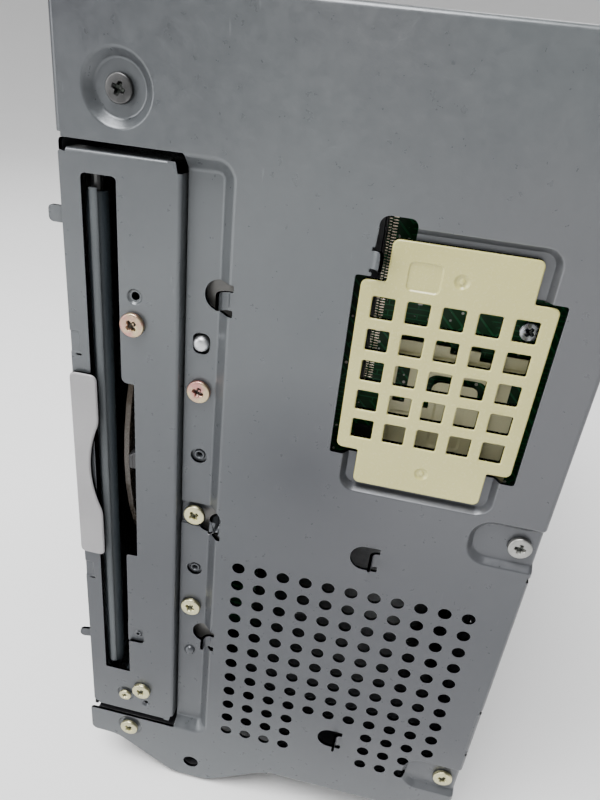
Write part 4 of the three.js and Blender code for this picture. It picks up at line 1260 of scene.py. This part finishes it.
def rightCoverShape():
    # a plain sheet with two slot rows; its two tabs are cut out of it and folded outwards
    holes = slotRow(10.0, 8, 84, 106) + slotRow(10.0, 8, 54, 76)
    folds = []
    start = -62.8
    for low, high, tip, turn in shell["tabs"]:
        end = start + tabLength
        holes.append(roundedLoop([
            (start - 0.3, low - 0.7, 0.2), (end + 0.9, low - 0.7, 0.5), (end + 0.9, high + 0.7, 0.5),
            (start - 0.3, high + 0.7, 0.2),
            (start - 0.3, high), (end, high, tip), (end, low, tip), (start - 0.3, low),
        ], 6))
        folds.append(fold(0, 1, start, shell["tabBend"], low - 0.05, high + 0.05, -1, turn, tabLength + 0.3))
    presses = [
        pressedRect(-52, 84, 122, 206, 9, -shell["emboss"], 1.6),
        pressedRect(-80, 84, 24, 44, 6, -shell["emboss"], 1.6),
    ]
    outline = rectLoop(shell["front"], shell["rear"], caseBottom + 0.3, caseTop, 0.5)
    return formedSheet(outline, holes, presses, folds)


def topCoverShape():
    # a sheet with one row of slots and a shallow rounded recess
    half = shell["topHalf"]
    presses = [pressedRect(-46, 46, -74, 30, 8, 0.4, 1.6)]
    return formedSheet(
        rectLoop(-half, half, shell["front"], shell["rear"], 0.5), slotRow(-21.0, 7, 40, 66), presses,
    )


sheetPiece(
    "leftCover", "left", -caseHalf, leftCoverShape(), paintedPlate, slot="plate_steel",
    stands=["left_cover"],
)
sheetPiece(
    "rightCover", "right", caseHalf, rightCoverShape(), paintedPlate, slot="plate_steel",
    stands=["right_cover"],
)
sheetPiece(
    "topCover", "top", caseTop, topCoverShape(), paintedPlate, slot="plate_steel",
    stands=["top_cover"],
)

rear = {
    "ports": (-27.3, -8.7, 117.7, 200.3), "inlet": (38.0, 196.0, 13.8, 10.0),
    "switch": (8.0, 196.0, 10.0, 7.0),
    "fan": (20.0, 78.0), "fanPitch": 7.4, "fanHole": 2.9, "fanReach": 25.5,
    "screws": ((-52, 217), (-30, 217), (23, 214), (53, 214), (53, 178), (-52, 20), (30, 20), (-52, 110)),
    "sockets": (
        (-24.5, -12.5, 124, 138, 0.5), (-24.5, -19.4, 145, 157.6, 0.4),
        (-16.6, -11.5, 145, 157.6, 0.4), (-20.6, -16, 164, 178.2, 0.9),
    ),
    "jack": (-18.0, 189.0, 1.9),
}


def rearPanelShape():
    # openings for ports, inlet, switch and fan
    left, right, low, high = rear["ports"]
    holes = [rectLoop(-right, -left, low, high, 0.6)]
    for key, r in (("inlet", 0.8), ("switch", 0.6)):
        x, z, halfX, halfZ = rear[key]
        holes.append(rectLoop(-x - halfX, -x + halfX, z - halfZ, z + halfZ, r))
    # a honeycomb of round holes: rows stand pitch x sin 60 apart, every second one half a pitch over
    row, column = (g.ravel() for g in np.meshgrid(np.arange(-4, 5), np.arange(-4, 5)))
    a = (column + 0.5 * (row % 2)) * rear["fanPitch"]
    b = row * rear["fanPitch"] * math.sin(math.pi / 3)
    near = np.hypot(a, b) < rear["fanReach"]
    x, z = rear["fan"]
    holes += [circleLoop(-x - p, z + q, rear["fanHole"], 20) for p, q in zip(a[near], b[near])]
    holes += [circleLoop(-x + p, z + q, 1.9, 20) for p in (-26, 26) for q in (-26, 26)]
    presses = [
        pressedCircle(-x, z, 36.2, -0.7, 1.6, 72), pressedRect(34, 52, 30, 96, 4, -0.6, 1.4),
    ]
    return formedSheet(rectLoop(-caseHalf, caseHalf, caseBottom + 0.3, caseTop, 0.8), holes, presses)


sheetPiece(
    "rearPanel", "rear", caseBack, rearPanelShape(), paintedPlate, slot="plate_steel",
    stands=["rear_panel"],
)
for index, (x, z) in enumerate(rear["screws"]):
    points, faces, shade = crossScrew(-x, z, -caseBack, 2.8, 1.1, 0.35 * index)
    putScrew("rearScrew" + str(index + 1), (points * (-1, -1, 1), faces, shade), yellowZinc)


def portShieldShape():
    # a thin bright sheet with an opening for each socket and a raised ring round the jack
    left, right, low, high = rear["ports"]
    holes = [rectLoop(-r - 0.1, -l + 0.1, b - 0.1, t + 0.1, c) for l, r, b, t, c in rear["sockets"]]
    x, z, radius = rear["jack"]
    holes.append(circleLoop(-x, z, radius + 0.9, 32))
    presses = [pressedRing(-x, z, radius + 2.2, -0.25, 1.0)]
    return formedSheet(
        rectLoop(-right + 0.15, -left - 0.15, low + 0.15, high - 0.15, 0.6), holes, presses,
        thick=0.3,
    )


def tubeFrame(outer, inner, low, high):
    # a wall between two loops with as many points each, from y = low to y = high
    rings = [(outer, low), (outer, high), (inner, high), (inner, low)]
    points = [np.column_stack([loop[:, 0], np.full(len(loop), y), loop[:, 1]]) for loop, y in rings]
    index = np.arange(4 * len(outer)).reshape(4, len(outer))
    a, b = index, np.roll(index, -1, 0)
    quads = np.stack([a, b, np.roll(b, -1, 1), np.roll(a, -1, 1)], -1).reshape(-1, 4).tolist()
    return np.concatenate(points), quads


def socketShells():
    # a tube behind each opening, 0.3 mm thick, and a collar for the jack
    parts = []
    for left, right, low, high, radius in rear["sockets"]:
        outer = rectLoop(left + 0.05, right - 0.05, low + 0.05, high - 0.05, radius)
        parts.append(tubeFrame(outer, offsetLoop(outer, 0.3), caseBack - 13.5, caseBack + 0.35))
    x, z, radius = rear["jack"]
    parts.append(
        tubeFrame(
            circleLoop(x, z, radius + 0.8, 32), circleLoop(x, z, radius - 0.02, 32), caseBack - 2.0,
            caseBack + 0.5,
        )
    )
    return joinParts(parts)


def socketTongues():
    # the bars inside the two data sockets and the video socket
    rows = []
    for left, right, low, high, _ in rear["sockets"][1:3]:
        rows.append(((left + 0.7, caseBack - 13, low + 1.2), (left + 2.5, caseBack - 3.2, high - 1.2)))
    left, right, low, high, _ = rear["sockets"][3]
    rows.append(
        (
            ((left + right) / 2 - 0.6, caseBack - 11.5, low + 2.0),
            ((left + right) / 2 + 0.6, caseBack - 3.0, high - 2.0),
        )
    )
    return blocks(rows, 0.2)


def socketContacts():
    # rows of flat contacts at even steps, and the three pins of the inlet
    rows = []
    for left, right, low, high, _ in rear["sockets"][1:3]:
        rows += [
            ((left + 2.5, caseBack - 12, z - 0.5), (left + 2.75, caseBack - 3.8, z + 0.5))
            for z in np.linspace(low + 2.4, high - 2.4, 4)
        ]
    left, right, low, high, _ = rear["sockets"][0]
    rows += [
        ((left + 0.8, caseBack - 12, z - 0.22), (left + 1.6, caseBack - 3, z + 0.22))
        for z in np.linspace(low + 3.0, high - 3.0, 8)
    ]
    x, z = rear["inlet"][:2]
    rows += [
        ((p - 1.05, caseBack - 14, q - 2.05), (p + 1.05, caseBack + 0.6, q + 2.05))
        for p, q in ((x - 7, z - 1.2), (x, z + 3.4), (x + 7, z - 1.2))
    ]
    return blocks(rows, 0.35)


sheetPiece("portShield", "rear", caseBack + 0.1, portShieldShape(), brightSteel)
putMesh("socketShells", *socketShells(), drawnSteel)
putMesh("socketTongues", *socketTongues(), whiteTrim)
putMesh("socketContacts", *socketContacts(), goldPin)
print("shell ready")

# fans: two flanges with a round duct between, a motor on struts, and twisted blades

fans = {
    "rear_fan": {"side": "rear", "blades": 7, "pitch": (50, 32)},
    "cpu_fan": {"side": "left", "blades": 7, "pitch": (50, 34)},
}
fanLook = {"flange": 3.2, "duct": 1.5, "wall": 2.0, "bladeThick": (1.3, 0.7), "tipGap": 3.0}


def bladeShape(hub, tip, deep, pitch, turn):
    # at radius r, place c (-1..1) along the chord lies at angle turn + (W c cos p + sweep) / r and
    # depth D + W c sin p + camber (1 - c^2); p falls and W grows from hub to tip
    s, c = np.meshgrid(np.linspace(0, 1, 9), np.linspace(-1, 1, 11), indexing="ij")
    r = hub - 0.4 + s * (tip - hub + 0.4)
    p = np.radians(pitch[0] + s * (pitch[1] - pitch[0]))
    w = tip * (0.20 + 0.13 * s - 0.04 * s ** 6)
    angle = turn + (w * c * np.cos(p) + tip * 0.16 * s ** 1.5) / r
    camber = 0.035 * tip * (1 - c * c)
    first, last = fanLook["bladeThick"]
    thick = (first + s * (last - first)) * np.sqrt(1.02 - c * c) / np.cos(p)
    sheets = [
        np.stack(
            [r * np.cos(angle), r * np.sin(angle), deep + w * c * np.sin(p) + camber + sign * thick / 2],
            -1,
        )
        for sign in (-1, 1)
    ]
    n, m = s.shape
    index = np.arange(n * m).reshape(n, m)
    quads = np.stack([index[:-1, :-1], index[1:, :-1], index[1:, 1:], index[:-1, 1:]], -1).reshape(-1, 4)
    edge = np.concatenate([index[:-1, 0], index[-1, :-1], index[:0:-1, -1], index[0, :0:-1]])
    ahead = np.roll(edge, -1)
    walls = np.stack([edge, edge + n * m, ahead + n * m, ahead], 1)
    faces = quads[:, ::-1].tolist() + (quads + n * m).tolist() + walls[:, ::-1].tolist()
    return np.concatenate([x.reshape(-1, 3) for x in sheets]), faces


def fanPieces(name, look):
    # everything in the fan's own (a, b, depth), depth counted in from its grille side
    low, high = nodeBox(name + "_frame")
    axis = 1 if look["side"] == "rear" else 0
    thick = high[axis] - low[axis]
    across = np.array(faceViews[look["side"]][0], float)
    a0, b0 = float(across @ (low + high) / 2), (low[2] + high[2]) / 2
    size = high[2] - low[2]
    level = high[1] if look["side"] == "rear" else low[0]
    bore, half, hub = size / 2 - fanLook["wall"], size / 2, size / 5
    made = name.split("_")[0]
    for end, depth in (("Outer", 0.0), ("Inner", thick - fanLook["flange"])):
        holes = [circleLoop(a0, b0, bore, 72)]
        holes += [
            circleLoop(a0 + p, b0 + q, 1.9, 20) for p in (4 - half, half - 4) for q in (4 - half, half - 4)
        ]
        ring = formedSheet(
            rectLoop(a0 - half, a0 + half, b0 - half, b0 + half, 3.2), holes, thick=fanLook["flange"],
            rim=((0.0, 0.35), (0.3, 0.0)), back="flat",
        )
        inward = level - depth if look["side"] == "rear" else level + depth
        extra = {"slot": "black_plastic", "stands": [name + "_frame"]} if end == "Outer" else {}
        sheetPiece(made + "FanFlange" + end, look["side"], inward, ring, blackPlastic, **extra)
    d = fanLook["duct"]
    duct = [
        spun(
            [
                (bore + 0.02, 0.6), (bore + d, 0.6), (bore + d, thick - 0.6),
                (bore + 0.02, thick - 0.6), (bore + 0.02, 0.6),
            ],
            72, "z", (a0, b0, 0),
        )
    ]
    motor = spun(
        [
            (0, 0.45), (hub * 0.72, 0.45), (hub * 0.76, 0.1), (hub * 0.96, 0.1), (hub, 0.4),
            (hub, 2.4), (0, 2.4),
        ],
        56, "z", (a0, b0, 0),
    )
    struts = []
    for turn in np.radians((20, 110, 200, 290)):
        path = np.array(
            [
                [a0 + r * math.cos(turn + 0.004 * r), b0 + r * math.sin(turn + 0.004 * r), 1.0]
                for r in np.linspace(hub - 0.5, bore + 0.6, 8)
            ]
        )
        struts.append(sweptTube(path, 0.8, 12))
    for part, shape in (("Duct", joinParts(duct)), ("Motor", motor), ("Struts", joinParts(struts))):
        putMesh(made + "Fan" + part, ontoFace(shape[0], look["side"], level), shape[1], blackPlastic)
    tip = half - fanLook["tipGap"]
    parts = [
        bladeShape(hub, tip, (thick + 1.8) / 2, look["pitch"], 2 * math.pi * k / look["blades"])
        for k in range(look["blades"])
    ]
    points, faces = joinParts(parts)
    points = points + (a0, b0, 0)
    body = name + "_rotor"
    putMesh(made + "FanBlades", ontoFace(points, look["side"], level), faces, blackPlastic, body=body)
    top = thick - 1.0
    cup = spun(
        [
            (0, 2.9), (hub - 0.3, 2.9), (hub, 3.3), (hub, top - 1.2), (hub - 0.35, top - 0.4),
            (hub - 1.2, top), (hub * 0.5, top), (hub * 0.45, top - 0.3), (0, top - 0.3),
        ],
        56, "z", (a0, b0, 0),
    )
    putMesh(
        made + "FanHub", ontoFace(cup[0], look["side"], level), cup[1], blackPlastic, body=body,
        slot="black_plastic", stands=[name + "_rotor"],
    )


for fanName, fanShape in fans.items():
    fanPieces(fanName, fanShape)
print("fans ready")

# feet: turned rubber with a groove and a hollow underside

footProfile = [
    (0, 1.3), (3.4, 1.3), (3.9, 0.9), (4.2, 0.15), (4.6, 0), (6.3, 0), (7.2, 0.35), (7.8, 1.1),
    (8.0, 2.0), (8.0, 3.9),
    (7.65, 4.2), (7.65, 4.9), (8.0, 5.2), (8.0, 12.3), (0, 12.3),
]
for name in sorted(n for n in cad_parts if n.startswith("foot_")):
    low, high = nodeBox(name)
    made = "foot" + "".join(w.capitalize() for w in name.split("_")[1:])
    at = ((low[0] + high[0]) / 2, (low[1] + high[1]) / 2, low[2])
    putMesh(made, *spun(footProfile, 48, "z", at), darkRubber, slot="rubber", stands=[name])
print("feet ready")

# frame nodes that keep their own shape

keptNodes = {
    "base_pan": shadedPlate, "supply_case": drawnSteel, "drive_case": drawnSteel, "drive_lid": drawnSteel,
    "front_board": frontCircuit, "mainboard": sideCircuit, "memory_module": sideCircuit,
    "supply_board": flatCircuit, "disc_guide": smokePlastic, "drive_belt": darkRubber,
    "roller_shaft": darkSteel, "loading_motor": brightSteel, "spindle_motor": brightSteel,
    "sled_motor": brightSteel, "guide_rod_upper": brightSteel, "guide_rod_lower": brightSteel,
    "lead_screw": brightSteel, "pickup_sled": castAluminium, "heatsink": castAluminium,
    "hard_disk": castAluminium, "motor_pulley": blackPlastic, "spindle_hub": blackPlastic,
    "port_block": blackPlastic, "inlet_socket": blackPlastic, "switch_bezel": blackPlastic,
    "rocker_switch": blackPlastic,
}
nodeEdges = {"weld": 1e-6, "bevel": 0.00018, "segments": 2, "angle": 38}
for nodeName, finish in keptNodes.items():
    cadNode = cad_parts[nodeName]
    cadNode.data.materials.clear()
    cadNode.data.materials.append(finish)
    weld = cadNode.modifiers.new("weld", "WELD")
    weld.merge_threshold = nodeEdges["weld"]
    bevel = cadNode.modifiers.new("softEdges", "BEVEL")
    bevel.width = nodeEdges["bevel"]
    bevel.segments = nodeEdges["segments"]
    bevel.limit_method = "ANGLE"
    bevel.angle_limit = math.radians(nodeEdges["angle"])
print("kept nodes:", len(keptNodes))

# floor, light and camera

setUp = {  # metres and watts; each light is place, what it points at, size and power
    "cameraPlace": (0.01570, -0.22626, 0.21495),
    "right": (0.97547, 0.19472, 0.10262), "up": (-0.18056, 0.44124, 0.87904),
    "forward": (-0.12589, 0.87601, -0.46557),
    "lens": 29.134, "sensor": 36.0, "nearest": 0.01,
    "sky": 0.34, "floorReach": 1.2, "rimRadius": 1.6,
    "lights": {
        "overhead": ((-0.25, -0.40, 1.15), (0.0, -0.1, 0.1), (0.8, 0.5), 27),
        "window": ((-0.85, -0.75, 0.45), (0, -0.1, 0.12), (0.5, 0.7), 7.5),
        "rear": ((0.4, 1.0, 0.9), (0, 0, 0.12), (0.9, 0.9), 10),
    },
}


def floorSurface():
    # colour = near white with a faint slow drift; roughness a little uneven
    material, tree, shader = newSurface("paleFloor")
    place = objectPlace(tree)
    drift = noise(tree, place, 0.3, 2)
    colour = blendColour(tree, drift, (0.86, 0.86, 0.86), (0.90, 0.90, 0.90))
    finishSurface(
        tree, shader, colour, ramp(tree, drift, 0.3, 0.7, 0.6, 0.7), noise(tree, place, 0.002), 0.05,
    )
    return material


def makeFloor():
    # a wide round floor whose rim curves up: height = rim radius (1 - cos(angle)) past its reach
    reach, rim = setUp["floorReach"], setUp["rimRadius"]
    angle = np.linspace(0.1, 1.5, 14)
    across = np.concatenate([np.linspace(0, reach, 8)[1:], reach + rim * np.sin(angle)])
    lift = np.concatenate([np.zeros(7), rim * (1 - np.cos(angle))])
    profile = np.stack([np.concatenate([[0], across]), np.concatenate([[0], lift])], 1)
    points, faces = spun(profile, 64, "z")
    mesh = bpy.data.meshes.new("floor")
    mesh.from_pydata(points.tolist(), [], faces)
    mesh.shade_smooth()
    floor = bpy.data.objects.new("floor", mesh)
    bpy.context.scene.collection.objects.link(floor)
    mesh.materials.append(floorSurface())


def makeSky():
    # an even white surround
    world = bpy.data.worlds.new("studio")
    bpy.context.scene.world = world
    world.use_nodes = True
    world.node_tree.nodes["Background"].inputs[0].default_value = (1.0, 1.0, 1.0, 1)
    world.node_tree.nodes["Background"].inputs[1].default_value = setUp["sky"]


def areaLight(name, place, target, size, power):
    # a rectangle of light at its place, turned towards its target
    data = bpy.data.lights.new(name, "AREA")
    data.shape = "RECTANGLE"
    data.size, data.size_y = size
    data.energy = power
    light = bpy.data.objects.new(name, data)
    bpy.context.scene.collection.objects.link(light)
    light.location = place
    light.rotation_euler = (Vector(target) - Vector(place)).to_track_quat("-Z", "Y").to_euler()


def makeCamera():
    # the camera's own axes are right, up and backwards
    data = bpy.data.cameras.new("camera")
    camera = bpy.data.objects.new("camera", data)
    bpy.context.scene.collection.objects.link(camera)
    right, up, forward = (Vector(setUp[k]) for k in ("right", "up", "forward"))
    turn = Matrix((right, up, -forward)).transposed().to_4x4()
    camera.matrix_world = Matrix.Translation(setUp["cameraPlace"]) @ turn
    data.lens, data.sensor_width = setUp["lens"], setUp["sensor"]
    data.clip_start = setUp["nearest"]
    bpy.context.scene.camera = camera


makeFloor()
makeSky()
for lightName, light in setUp["lights"].items():
    areaLight(lightName, *light)
makeCamera()
print("stage ready")
